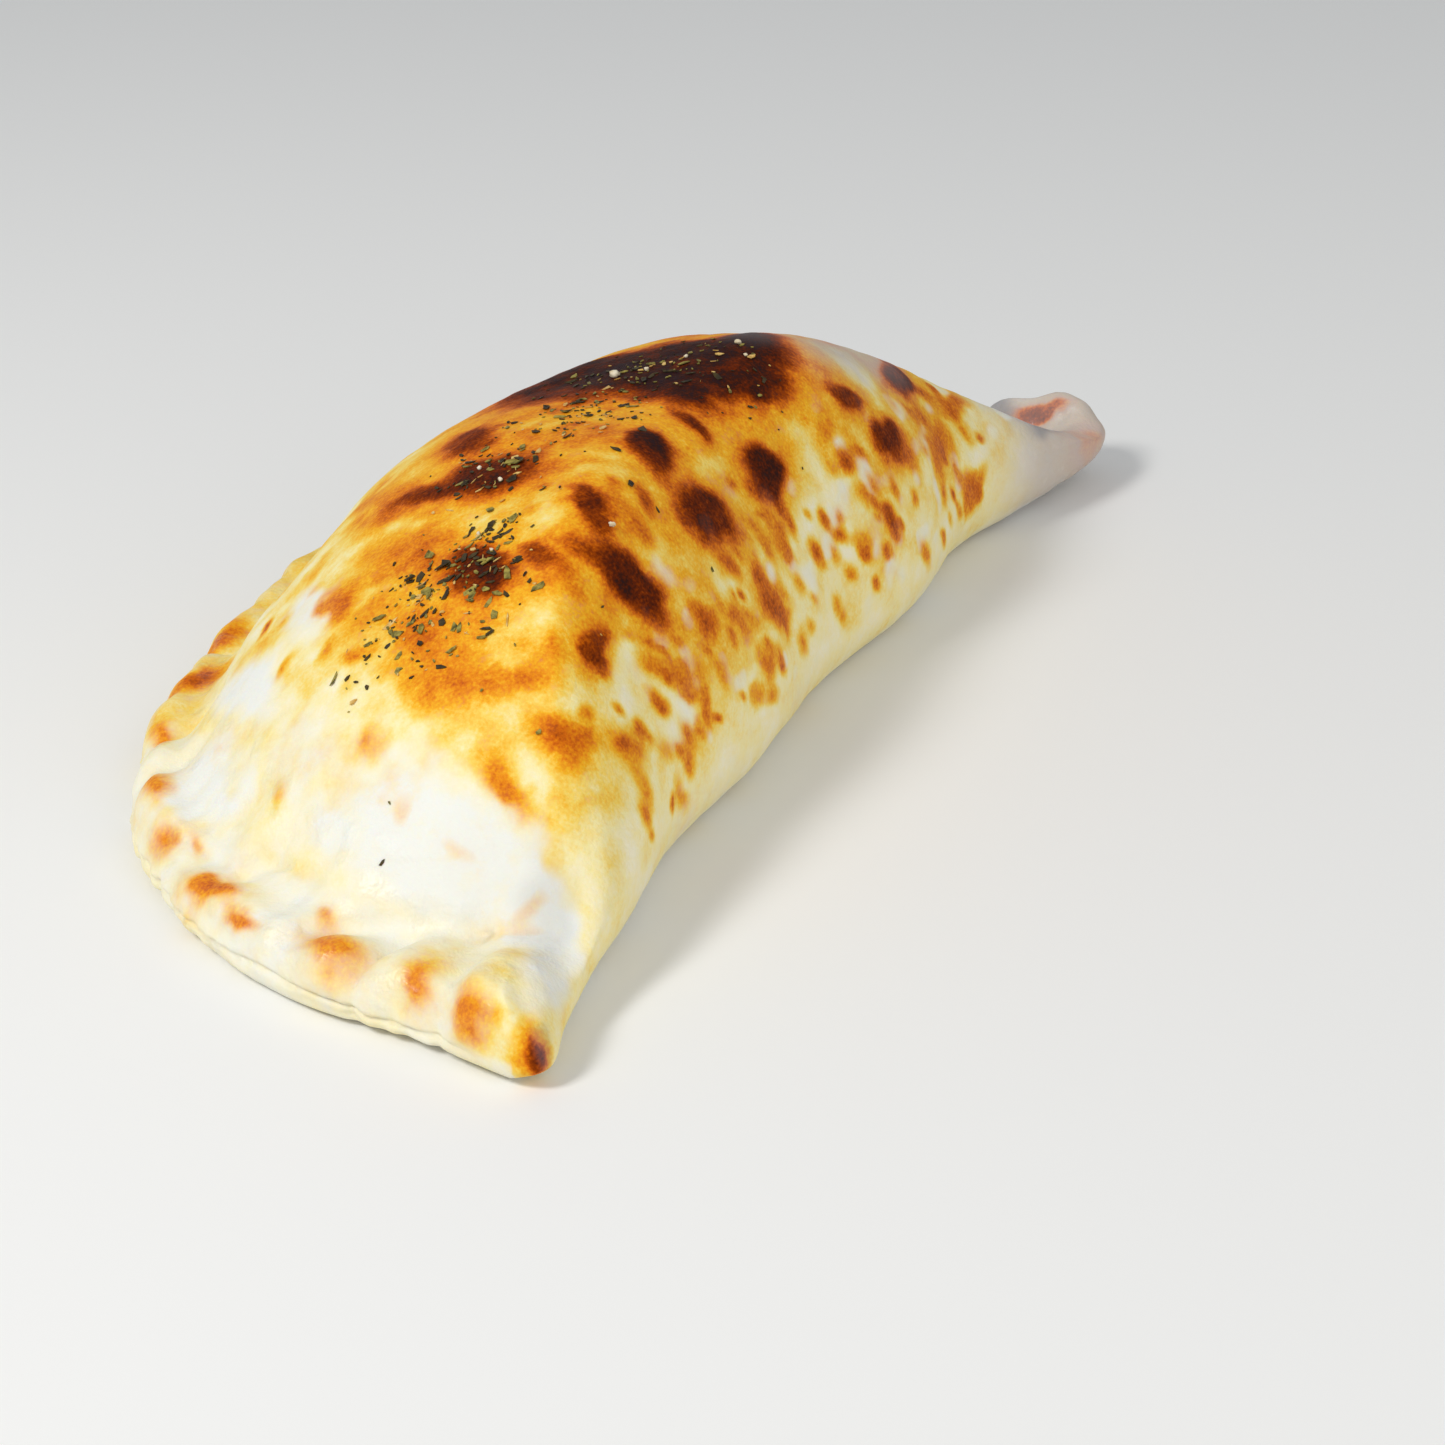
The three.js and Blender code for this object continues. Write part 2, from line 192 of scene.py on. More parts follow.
@dataclass(frozen=True)
class Corner:
    """A corner where the fold meets the rim, and how the dough is pushed there.

    The push and the puff fade with distance, within about their reach. The lift raises the edge.
    """

    x: float
    y: float
    rounding: float
    reach: float
    push_x: float
    push_y: float
    puff: float
    puff_reach: float
    lift: float

    def near(self, x: np.ndarray, y: np.ndarray, reach: float) -> np.ndarray:
        """Tell how close places are to the corner, 1 at it and falling like a bell."""
        return bell((x - self.x) / reach, (y - self.y) / reach)

    @property
    def centre_y(self) -> float:
        """How far along the fold the middle of the rounding arc is."""
        return math.sqrt((DoughShape.disc_radius - self.rounding) ** 2 - self.rounding**2)

    @property
    def angle(self) -> float:
        """The angle along the rim at which the rounding arc ends."""
        return math.asin(self.rounding / (DoughShape.disc_radius - self.rounding))

    def arc(self, steps: int, side: int) -> np.ndarray:
        """Lay the rounding arc.

        Args:
            steps: How many places it has.
            side: -1 for the near end of the fold, 1 for the far end.

        Returns:
            Places from the fold towards the rim, one a row.
        """
        turn = (math.pi / 2 + self.angle) * np.arange(steps) / steps
        x = self.rounding * (np.cos(turn) - 1.0)
        y = side * (self.centre_y + self.rounding * np.sin(turn))
        return np.stack([x, y], axis=1)


@dataclass(frozen=True)
class Pleat:
    """A pleat folded slantwise across the rim: the bottom of it is a line in the plan."""

    line: tuple
    depth: float
    half_width: float = 3.2

    def distance(self, x: np.ndarray, y: np.ndarray) -> np.ndarray:
        """Measure how far places lie from the pleat's line.

        Args:
            x: Places across the fold.
            y: Places along the fold.

        Returns:
            Distances in the plan.
        """
        least = np.full(np.shape(x), np.inf)
        for (start_x, start_y), (end_x, end_y) in zip(self.line, self.line[1:]):
            step_x, step_y = end_x - start_x, end_y - start_y
            along = (x - start_x) * step_x + (y - start_y) * step_y
            share = np.clip(along / (step_x**2 + step_y**2), 0.0, 1.0)
            away = np.hypot(x - start_x - share * step_x, y - start_y - share * step_y)
            least = np.minimum(least, away)
        return least

    def cut(self, x: np.ndarray, y: np.ndarray) -> np.ndarray:
        """Give how deep the pleat is at places in the plan."""
        return self.depth * bell(self.distance(x, y) / self.half_width)


@dataclass(frozen=True)
class DoughShape:
    """The form of the folded and filled disc: its crown, flanks, rim and corners."""

    disc_radius: float = 154.0
    crown_height: float = 70.6
    crown_end_y: float = 5.0
    far_fall: float = 62.0
    far_fall_power: float = 3.0
    slope_width: float = 110.0
    slope_fullness: float = 2.5
    slope_sharpness: float = 0.88
    steep_flank: tuple = (78, 24, 0.05)
    sag_place: tuple = (-78, 17)
    sag_reach: tuple = (22, 26)
    sag_depth: float = 2.4
    slope_start_blend: float = 0.06
    swell: float = 1.1

    fold_bulge_height: float = 13.0
    fold_foot_radius: float = 12.0
    fold_shoulder: float = 48.0
    tip_shoulder: float = 15.0
    fold_hollow: float = 13.0
    far_hollow: tuple = (100, 28, 4.5)
    fold_hollow_power: float = 0.7
    fold_ripple: float = 1.2
    fold_ripple_pitch: float = 78.0
    fold_ripple_start: float = -134.0
    fold_fade: tuple = (-60, 0)
    outset_fade: tuple = (-5, -35)
    outset_power: int = 6
    near_end: tuple = (-179, -142)
    far_end: tuple = (179, 142)
    fold_limit: float = -2.0
    shoulder_near_end: tuple = (-145, -60)
    shoulder_far_end: tuple = (146, 62)
    bulge_near_end: tuple = (-154, -114)
    bulge_far_end: tuple = (160, 124)

    rim_width: float = 13.0
    rim_width_waves: tuple = ((2.0, 5, 1.0),)
    near_tip_rim_extra: float = 13.0
    near_tip_rim_angles: tuple = (0.03, 0.2)
    far_tip_rim_extra: float = 6.0
    far_tip_rim_angles: tuple = (2.2, 3.0)
    rim_height: float = 11.5
    rim_dip: float = 3.0
    rim_dip_start: float = 0.35
    rim_dip_span: float = 0.6
    rim_edge_height: float = 4.5
    rim_edge_rounding: float = 6.5
    rim_foot_radius: float = 2.5
    rim_lift: float = 0.5
    rim_lift_waves: int = 11
    rim_wander: float = 0.6
    rim_wander_waves: tuple = ((1.0, 13.1, 2.0), (0.6, 23, 1.0))
    rim_bulges: tuple = ((26, 16, 4.5), (44, 8, 3), (84, 17, -6.5), (118, 18, 1.5))
    crease_angles: tuple = (8, 15, 25, 51, 74, 86, 99, 113, 126, 140, 153, 165)
    crease_depth: float = 2.6
    crease_half_width: float = 4.5
    lobe_puff: float = 1.6
    lobe_waves: tuple = ((0.6, 9, 0.3), (0.5, 17, 0.0))
    relief_fade: float = 12.0
    pleats: tuple = (
        Pleat(((-56, -139), (-39, -132), (-24, -131)), 2.0),
        Pleat(((-101, -116), (-79, -124), (-71, -120)), 2.8),
        Pleat(((-125, -82), (-117, -72)), 2.2),
    )

    near_tip: Corner = Corner(
        x=-2, y=-154, rounding=8, reach=17, push_x=4.5, push_y=-5, puff=3.5, puff_reach=20, lift=0,
    )
    far_tip: Corner = Corner(
        x=-20, y=150, rounding=14, reach=30, push_x=3, push_y=5, puff=9, puff_reach=30, lift=6.5,
    )
    dimple_place: tuple = (-22, 141)
    dimple_reach: tuple = (12, 6.5)
    dimple_depth: float = 9.0
    base_rise: float = 0.4
    foot_half_width: float = 1.4
    foot_inset: float = 1.5
    foot_wander: tuple = ((2.0, SmoothNoise(641, 13.0)),)
    foot_fading: SmoothNoise = SmoothNoise(642, 17.0)
    foot_faint: tuple = (-0.35, 0.45)
    foot_starts: tuple = (2, 7)
    foot_stops: tuple = (64, 44)

    spine_end_y: float = 108.0
    spine_end_x: float = -30.0
    spine_bow: float = 38.0

    def rim_angle(self, x: np.ndarray, y: np.ndarray) -> np.ndarray:
        """Measure the angle along the rim, 0 at the near tip and pi at the far one."""
        return np.arctan2(-x, -y)

    def inward(self, x: np.ndarray, y: np.ndarray) -> np.ndarray:
        """Measure how far places lie in from the edge of the disc."""
        return self.disc_radius - np.hypot(x, y)

    def rim_relief(self, angle: np.ndarray, inward: np.ndarray) -> np.ndarray:
        """Shape the lobes of the pressed rim and the creases between them.

        Args:
            angle: Angles along the rim.
            inward: Distances in from its edge.

        Returns:
            Heights to add to the rim.
        """
        relief = self.lobe_puff * waves(self.lobe_waves, angle)
        for i, degrees in enumerate(self.crease_angles):
            away = (angle - math.radians(degrees)) * self.disc_radius
            depth = self.crease_depth * (0.8 + 0.35 * math.sin(2.4 * i))
            relief -= depth * bell(away / self.crease_half_width)
        return relief * (1.0 - ease(self.rim_width, self.rim_width + self.relief_fade, inward))

    def rim_reach(self, angle: np.ndarray) -> np.ndarray:
        """Give the width of the rim at each angle, before the filling lifts it."""
        middle, spread = self.near_tip_rim_angles
        near = self.near_tip_rim_extra * bell((angle - middle) / spread)
        far = self.far_tip_rim_extra * ease(*self.far_tip_rim_angles, angle)
        return self.rim_width + near + far + waves(self.rim_width_waves, angle)

    def top_height(self, x: np.ndarray, y: np.ndarray) -> np.ndarray:
        """Give the height of the top skin, away from the rounded edges.

        Args:
            x: Places across the fold.
            y: Places along the fold.

        Returns:
            Heights over the base.
        """
        angle = self.rim_angle(x, y)
        inward = self.inward(x, y)
        width = self.rim_reach(angle)
        dip = ease(0.0, 1.0, (inward / width - self.rim_dip_start) / self.rim_dip_span)
        rim = self.rim_height - self.rim_dip * dip
        rim = rim + self.rim_relief(angle, inward)
        for tip in (self.near_tip, self.far_tip):
            rim = rim + tip.puff * tip.near(x, y, tip.puff_reach)
        dimple_x = (x - self.dimple_place[0]) / self.dimple_reach[0]
        dimple_y = (y - self.dimple_place[1]) / self.dimple_reach[1]
        rim = rim - self.dimple_depth * bell(dimple_x, dimple_y)
        for pleat in self.pleats:
            rim = rim - pleat.cut(x, y)
        past = np.maximum(0.0, (y - self.crown_end_y) / self.disc_radius)
        sag_x = (x - self.sag_place[0]) / self.sag_reach[0]
        sag_y = (y - self.sag_place[1]) / self.sag_reach[1]
        crown = self.crown_height - self.far_fall * past**self.far_fall_power
        crown = crown - self.sag_depth * bell(sag_x, sag_y)
        run = (inward - width) / self.slope_width
        climb = np.minimum(1.0, 0.5 * (run + np.sqrt(run * run + self.slope_start_blend**2)))
        steep_at, steep_spread, sharper = self.steep_flank
        sharpness = self.slope_sharpness - sharper * bell((np.degrees(angle) - steep_at) / steep_spread)
        rise = (1.0 - (1.0 - climb) ** self.slope_fullness) ** sharpness
        swell = np.sin(0.055 * x + 0.031 * y + 1.0) * np.sin(0.045 * y - 0.02 * x + 0.5)
        return rim + (crown + 2.0 * self.swell * swell - rim) * rise

    def foot_line(self, points: np.ndarray) -> np.ndarray:
        """Trace the line at the near end where the slope meets the rim.

        Args:
            points: Points of the skin, one a row.

        Returns:
            How close each is to the line, 0 to 1, less where the line is faint.
        """
        x, y, _ = points.T
        angle = self.rim_angle(x, y)
        away = self.inward(x, y) - self.rim_reach(angle) + self.foot_inset + layered(self.foot_wander, points)
        strength = ease(*self.foot_faint, self.foot_fading.at(points))
        near = ease(*self.foot_starts, np.degrees(angle)) * ease(*self.foot_stops, np.degrees(angle))
        return strength * near * bell(away / self.foot_half_width)

    def rim_outset(self, angle: np.ndarray) -> np.ndarray:
        """Give how far the rim stands out of a true circle at each angle."""
        outset = self.rim_wander * waves(self.rim_wander_waves, angle)
        for middle, spread, out in self.rim_bulges:
            outset = outset + out * bell((np.degrees(angle) - middle) / spread)
        return outset

    def settle(self, x: np.ndarray, y: np.ndarray) -> tuple[np.ndarray, np.ndarray]:
        """Move places of a plain half disc onto the real, slightly uneven outline.

        Args:
            x: Places across the fold.
            y: Places along the fold.

        Returns:
            The moved places, across and along.
        """
        angle = self.rim_angle(x, y)
        ends = ease(*self.near_end, y) * ease(*self.far_end, y)
        along = np.clip((y + self.disc_radius) / (2 * self.disc_radius), 0.0, 1.0)
        ripple = np.sin(2 * math.pi * (y - self.fold_ripple_start) / self.fold_ripple_pitch)
        hollow = self.fold_hollow * np.sin(math.pi * along) ** self.fold_hollow_power
        far_y, far_spread, far_depth = self.far_hollow
        hollow = hollow + far_depth * bell((y - far_y) / far_spread)
        fold = 1.0 - hollow + self.fold_ripple * ripple
        fold = fold * ease(*self.fold_fade, x) * ends
        outset = self.rim_outset(angle) * ease(*self.outset_fade, x)
        outset = outset * np.minimum(1.0, np.hypot(x, y) / self.disc_radius) ** self.outset_power
        moved_x = x + fold - np.sin(angle) * outset
        moved_y = y - np.cos(angle) * outset
        for tip in (self.near_tip, self.far_tip):
            closeness = tip.near(x, y, tip.reach)
            moved_x = moved_x + tip.push_x * closeness
            moved_y = moved_y + tip.push_y * closeness
        return moved_x, moved_y

    def edge(self, x: np.ndarray, y: np.ndarray) -> dict[str, np.ndarray]:
        """Tell how the edge looks at places of the outline.

        Args:
            x: Places of the outline, across the fold.
            y: Places of the outline, along the fold.

        Returns:
            The rounding of the edge, its height, its foot radius and its lift off the base.
        """
        fold = ease(-self.near_tip.rounding, self.fold_limit, x)
        middle = ease(*self.shoulder_near_end, y) * ease(*self.shoulder_far_end, y)
        shoulder = self.tip_shoulder + (self.fold_shoulder - self.tip_shoulder) * middle
        far = self.far_tip.lift * self.far_tip.near(x, y, self.far_tip.reach)
        lift = self.rim_lift * (1.0 - fold) * (1.0 + np.sin(self.rim_lift_waves * self.rim_angle(x, y)))
        bulge = (self.fold_bulge_height - self.rim_edge_height) * fold
        bulge = bulge * ease(*self.bulge_near_end, y) * ease(*self.bulge_far_end, y)
        return {
            "rounding": self.rim_edge_rounding + (shoulder - self.rim_edge_rounding) * fold,
            "height": self.rim_edge_height + bulge + far,
            "foot": self.rim_foot_radius + (self.fold_foot_radius - self.rim_foot_radius) * fold,
            "lift": self.base_rise + lift + far,
        }


@dataclass(frozen=True)
class SkinMesh:
    """A closed skin of triangles in millimetres, with what is known at each of its points."""

    points: np.ndarray
    faces: np.ndarray

    def normals(self) -> np.ndarray:
        """Work out the outward direction at each point."""
        corner = self.points[self.faces]
        facing = np.cross(corner[:, 1] - corner[:, 0], corner[:, 2] - corner[:, 0])
        total = np.zeros_like(self.points)
        for i in range(3):
            np.add.at(total, self.faces[:, i], facing)
        return unit(total)


@dataclass(frozen=True)
class SkinGrid:
    """Divides the dough's skin finely enough for its blisters and creases."""

    shape: DoughShape
    stations: int = 340
    tip_steps: int = 24
    top_rows: int = 118
    foot_rows: int = 10
    samples: int = 260
    near_crowding: float = 0.1
    fold_crowding: float = 0.45
    bearing_row: float = 14.0
    base_flat_share: float = 0.35
    least_rise: float = 1.0
    merging: float = 1e4

    def outline(self) -> tuple[np.ndarray, np.ndarray]:
        """Lay the outline of the half disc, each place paired with the spine place it faces.

        Returns:
            The outline's places and the spine's places, one a row.
        """
        shape = self.shape
        share = np.arange(self.stations - 1) / (self.stations - 1)
        share = share - self.near_crowding * np.sin(math.pi * share)
        near, far = shape.near_tip, shape.far_tip
        angle = near.angle + (math.pi - near.angle - far.angle) * share
        rim = -shape.disc_radius * np.stack([np.sin(angle), np.cos(angle)], axis=1)
        back = 1.0 - share
        eased = 0.5 * self.fold_crowding * (1.0 - np.cos(math.pi * back)) + (1.0 - self.fold_crowding) * back
        fold_y = -near.centre_y + (near.centre_y + far.centre_y) * eased
        fold = np.stack([np.zeros_like(fold_y), fold_y], axis=1)
        far_arc = far.arc(self.tip_steps + 1, 1)[:0:-1]
        starts = np.concatenate([near.arc(self.tip_steps, -1), rim, far_arc, fold])
        tip = np.ones(self.tip_steps)
        ends = self.spine(np.concatenate([0 * tip, share, tip, back]))
        return starts, ends

    def spine(self, share: np.ndarray) -> np.ndarray:
        """Give places of the line under the crown where the two flanks meet."""
        shape = self.shape
        x = shape.spine_end_x - shape.spine_bow * np.sin(math.pi * share)
        y = -shape.spine_end_y + 2 * shape.spine_end_y * share
        return np.stack([x, y], axis=1)

    def _row(self, starts: np.ndarray, ends: np.ndarray, inward: np.ndarray,
             height: np.ndarray) -> np.ndarray:
        """Place one row of the skin at given distances inward and heights."""
        length = np.linalg.norm(ends - starts, axis=1)
        share = np.minimum(1.0, inward / length)[:, None]
        flat = starts + (ends - starts) * share
        x, y = self.shape.settle(flat[:, 0], flat[:, 1])
        return np.stack([x, y, height], axis=1)

    def _top(self, starts: np.ndarray, ends: np.ndarray, edge: dict[str, np.ndarray]) -> np.ndarray:
        """Lay the rows of the top skin, close together at the edge and wider at the crown."""
        length = np.linalg.norm(ends - starts, axis=1)
        profile = []
        for share in np.linspace(0.0, 1.0, self.samples) ** 2:
            inward = share * length
            flat = starts + (ends - starts) * share
            away = np.minimum(1.0, inward / edge["rounding"])
            top = np.maximum(self.shape.top_height(*flat.T), edge["height"] + self.least_rise)
            arch = np.sqrt(1.0 - (1.0 - away) ** 2)
            profile.append(self._row(starts, ends, inward, edge["height"] + (top - edge["height"]) * arch))
        profile = np.array(profile)
        steps = np.linalg.norm(np.diff(profile, axis=0), axis=2)
        travelled = np.concatenate([np.zeros((1, len(starts))), np.cumsum(steps, axis=0)])
        share = np.linspace(0.0, 1.0, self.top_rows)
        share = 0.5 * share + 0.5 * share**2
        rows = np.empty((self.top_rows, len(starts), 3))
        for i in range(len(starts)):
            wanted = share * travelled[-1, i]
            for axis in range(3):
                rows[:, i, axis] = np.interp(wanted, travelled[:, i], profile[:, i, axis])
        return rows

    def _under(self, starts: np.ndarray, ends: np.ndarray, edge: dict[str, np.ndarray]) -> np.ndarray:
        """Lay the rows of the base and of the foot that rises from it to the edge."""
        length = np.linalg.norm(ends - starts, axis=1)
        flat = np.zeros(len(starts))
        rows = [
            self._row(starts, ends, length, flat),
            self._row(starts, ends, length * (1.0 - self.base_flat_share), flat),
            self._row(starts, ends, flat + self.bearing_row, flat + self.shape.base_rise),
        ]
        for turn in np.linspace(math.pi / 2, 0.0, self.foot_rows + 1)[:-1]:
            inward = edge["foot"] * (1.0 - math.cos(turn))
            height = edge["height"] - (edge["height"] - edge["lift"]) * math.sin(turn)
            rows.append(self._row(starts, ends, inward, height))
        return np.array(rows)

    def build(self) -> SkinMesh:
        """Join all rows into one closed skin.

        Returns:
            The skin, with no doubled points and no empty triangles.
        """
        starts, ends = self.outline()
        edge = self.shape.edge(starts[:, 0], starts[:, 1])
        rows = np.concatenate([self._under(starts, ends, edge), self._top(starts, ends, edge)])
        count, around = rows.shape[:2]
        here = np.arange(around)
        after = (here + 1) % around
        faces = []
        for row in range(count - 1):
            a, b = row * around + here, row * around + after
            c, d = b + around, a + around
            faces.append(np.stack([a, c, b], axis=1))
            faces.append(np.stack([a, d, c], axis=1))
        points = rows.reshape(-1, 3)
        rounded = np.round(points * self.merging)
        _, first, same = np.unique(rounded, axis=0, return_index=True, return_inverse=True)
        faces = same.reshape(-1)[np.concatenate(faces)]
        whole = (faces[:, 0] != faces[:, 1]) & (faces[:, 1] != faces[:, 2]) & (faces[:, 2] != faces[:, 0])
        return SkinMesh(points[first], faces[whole])


@dataclass(frozen=True)
class Spot:
    """An oval patch on the crust.

    `long` and `wide` are its half lengths. `turn` is the angle of its long side from the direction
    of the fold, positive towards the fold's foot. `tone` is how far it is baked, 0 raw to 1 charred.
    """

    place: tuple[float, float, float]
    long: float
    wide: float
    turn: float
    tone: float


CHARRED_CROWN = (
    Spot((-58, 14, 67), 28, 17, 66, 0.90),
    Spot((-80, 6, 62), 10, 6, -30, 0.82),
    Spot((-83, 20, 58), 15, 11, 40, 0.86),
    Spot((-66, 23, 65), 20, 12, 70, 0.96),
    Spot((-49, 8, 69), 15, 9, -35, 0.94),
    Spot((-43, 30, 67), 14, 9, -20, 0.96),
    Spot((-35, 17, 66), 10, 5, 40, 0.92),
)

CROWN_BLISTERS = (
    Spot((-80, -26, 63), 11, 6, -50, 0.77),
    Spot((-65, -45, 64), 13, 8, -75, 0.88),
    Spot((-80, -47, 59), 10, 3.5, -80, 0.82),
    Spot((-34, -60, 67), 7.5, 4.5, -50, 0.80),
    Spot((-37, -28, 68), 9, 6, -30, 0.89),
    Spot((-37, -9, 66), 6, 3.5, -80, 0.78),
    Spot((-30, -45, 65), 5, 3, -60, 0.66),
    Spot((-25, -1, 54), 8, 6, 15, 0.90),
    Spot((-24, -31, 56), 10, 7, 25, 0.84),
    Spot((-50, -77, 58), 9, 6, -60, 0.86),
    Spot((-38, -75, 63), 7, 2.5, -60, 0.70),
    Spot((-28, 76, 48), 10, 5.5, 0, 0.84),
    Spot((-24, 40, 56), 7, 3.5, 35, 0.78),
)

FLANK_BLISTERS = (
    Spot((-24, -66, 55), 13, 6, 70, 0.87),
    Spot((-23, -84, 50), 6, 4.5, -15, 0.76),
    Spot((-19, -103, 39), 6, 5, 80, 0.58),
    Spot((-14, -91, 33), 6.5, 5, 45, 0.58),
    Spot((-15, -22, 34), 10, 4.5, 50, 0.62),
    Spot((-14, -38, 37), 6.5, 3.5, 45, 0.55),
    Spot((-16, -50, 43), 6, 3, 70, 0.60),
    Spot((-18, 49, 44), 8, 5, 20, 0.78),
    Spot((-15, 76, 34), 9, 6, -20, 0.57),
    Spot((-12, 36, 30), 5.5, 3.5, 55, 0.64),
    Spot((-20, 97, 36), 10, 4, 10, 0.57),
    Spot((-11, 90, 17), 8, 2.5, -30, 0.54),
)

SOFT_BROWN = (
    Spot((-50, -78, 58), 17, 9, -60, 0.49),
    Spot((-56, -90, 50), 14, 6, -60, 0.53),
    Spot((-47, -100, 46), 14, 7, -65, 0.49),
    Spot((-30, -99, 48), 8, 5, 60, 0.50),
    Spot((-76, -64, 53), 11, 5, -75, 0.49),
    Spot((-83, -76, 45), 11, 5, -35, 0.58),
    Spot((-27, -113, 34), 9, 4, -70, 0.54),
    Spot((-90, -38, 54), 13, 4.5, -65, 0.48),
    Spot((-18, 149, 16), 9, 4, 80, 0.69),
    Spot((-4, 140, 12), 17, 10, 0, 0.47),
)

PALE_SPOTS = (
    Spot((-57, -110, 35), 4.5, 3.5, 0, 0.46),
    Spot((-45, -120, 29), 4, 3, 0, 0.38),
    Spot((-78, -88, 41), 4.5, 3, 0, 0.42),
    Spot((-91, -86, 36), 4, 2, 30, 0.46),
    Spot((-76, -113, 23), 4, 2.5, 0, 0.36),
    Spot((-108, -64, 32), 3, 2, 0, 0.62),
    Spot((-31, -124, 24), 6, 3, -80, 0.34),
    Spot((-17, -126, 17), 6, 3, 20, 0.36),
    Spot((-53, -136, 13), 4, 2.5, -60, 0.46),
)

RIM_BLISTERS = (
    Spot((-141, -34, 12), 9, 4, 15, 0.54),
    Spot((-132, -56, 14), 9, 4.5, 20, 0.60),
    Spot((-126, -80, 12), 9, 3, -40, 0.48),
    Spot((-111, -104, 14), 11, 4, -40, 0.49),
    Spot((-92, -118, 13), 5, 3, -40, 0.43),
    Spot((-101, -117, 10), 6, 5, -35, 0.47),
    Spot((-80, -131, 11), 12, 5, -65, 0.54),
    Spot((-70, -139, 10), 9, 4, -65, 0.48),
    Spot((-47, -144, 12), 12, 6, -80, 0.50),
    Spot((-26, -149, 12), 8, 4.5, -15, 0.49),
    Spot((-13, -155, 11), 7, 6, -75, 0.49),
    Spot((0, -158, 7), 3.6, 2.2, -70, 0.76),
)


@dataclass(frozen=True)
class Patch:
    """An oval patch of flour, of grey, or of painted shade: the oval as for a spot, with how much of it
    covers the dough.
    """

    place: tuple[float, float, float]
    long: float
    wide: float
    turn: float
    cover: float


FLOUR_PATCHES = (
    Patch((-36, -124, 24), 30, 16, -78, 0.92),
    Patch((-17, -129, 17), 17, 11, -50, 0.95),
    Patch((-54, -121, 26), 20, 9, -65, 0.75),
    Patch((-75, -108, 28), 15, 9, -50, 0.55),
    Patch((-94, -74, 40), 15, 6, -35, 0.75),
    Patch((-103, -85, 27), 17, 8, -38, 0.9),
    Patch((-97, -104, 19), 17, 9, -42, 0.85),
    Patch((-112, -97, 14), 15, 7, -42, 0.6),
    Patch((-6, -140, 12), 13, 8, 0, 0.8),
)

# Greyer patches beside the charred crown.
GREY_PATCHES = (
    Patch((-33, 66, 57), 30, 11, 0, 0.8),
    Patch((-44, 46, 65), 16, 8, 0, 0.5),
)

# Painted shade: dull blue-grey where the curled corner's hollow and the facet by the near corner lie in
# shade.
PAINTED_SHADE_PATCHES = (
    Patch((-30, 147, 14), 7, 4.5, 0, 0.65),
    Patch((-9, 128, 18), 11, 3, 10, 0.55),
    Patch((-21, 112, 24), 10, 3, 10, 0.35),
    Patch((-15, -128, 15), 15, 6, -25, 0.24),
    Patch((0, -158, 7), 3.6, 2.2, -70, 0.28),
)


@dataclass(frozen=True)
class SpotScatter:
    """Small spots strewn over one part of the crust by a seeded rule."""

    seed: int
    count: int
    low: tuple[float, float, float]
    high: tuple[float, float, float]
    size: tuple[float, float]
    slimness: tuple[float, float]
    turn: tuple[float, float]
    tone: tuple[float, float]

    def spots(self) -> list[Spot]:
        """Draw the spots, each somewhere in the box between `low` and `high`."""
        stream = NumberStream(self.seed)
        drawn = []
        for _ in range(self.count):
            place = tuple(stream.between(low, high) for low, high in zip(self.low, self.high))
            long = stream.between(*self.size)
            wide = long * stream.between(*self.slimness)
            drawn.append(Spot(place, long, wide, stream.between(*self.turn), stream.between(*self.tone)))
        return drawn


FLANK_FRECKLES = SpotScatter(
    seed=811, count=150, low=(-22, -98, 14), high=(-8, 98, 52),
    size=(1.8, 5.2), slimness=(0.45, 0.75), turn=(35, 85), tone=(0.42, 0.60),
)
CROWN_FRECKLES = SpotScatter(
    seed=5127, count=60, low=(-80, -105, 45), high=(-24, 95, 70),
    size=(2.0, 6.0), slimness=(0.5, 0.9), turn=(-80, 80), tone=(0.44, 0.56),
)
BACK_BLISTERS = SpotScatter(
    seed=3319, count=40, low=(-128, 18, 16), high=(-84, 110, 60),
    size=(3.0, 9.0), slimness=(0.4, 0.8), turn=(-90, 90), tone=(0.50, 0.88),
)


@dataclass(frozen=True)
class Wobble:
    """Uneven shifts that keep the outline of an oval from being smooth, in millimetres."""

    seed: int
    broad: float
    broad_pitch: float
    fine: float
    fine_pitch: float

    def at(self, places: np.ndarray) -> np.ndarray:
        """Give one shift for each point."""
        broad = [SmoothNoise(self.seed + i, self.broad_pitch).at(places) for i in range(3)]
        fine = [SmoothNoise(self.seed + 10 + i, self.fine_pitch).at(places) for i in range(3)]
        return self.broad * np.stack(broad, axis=1) + self.fine * np.stack(fine, axis=1)


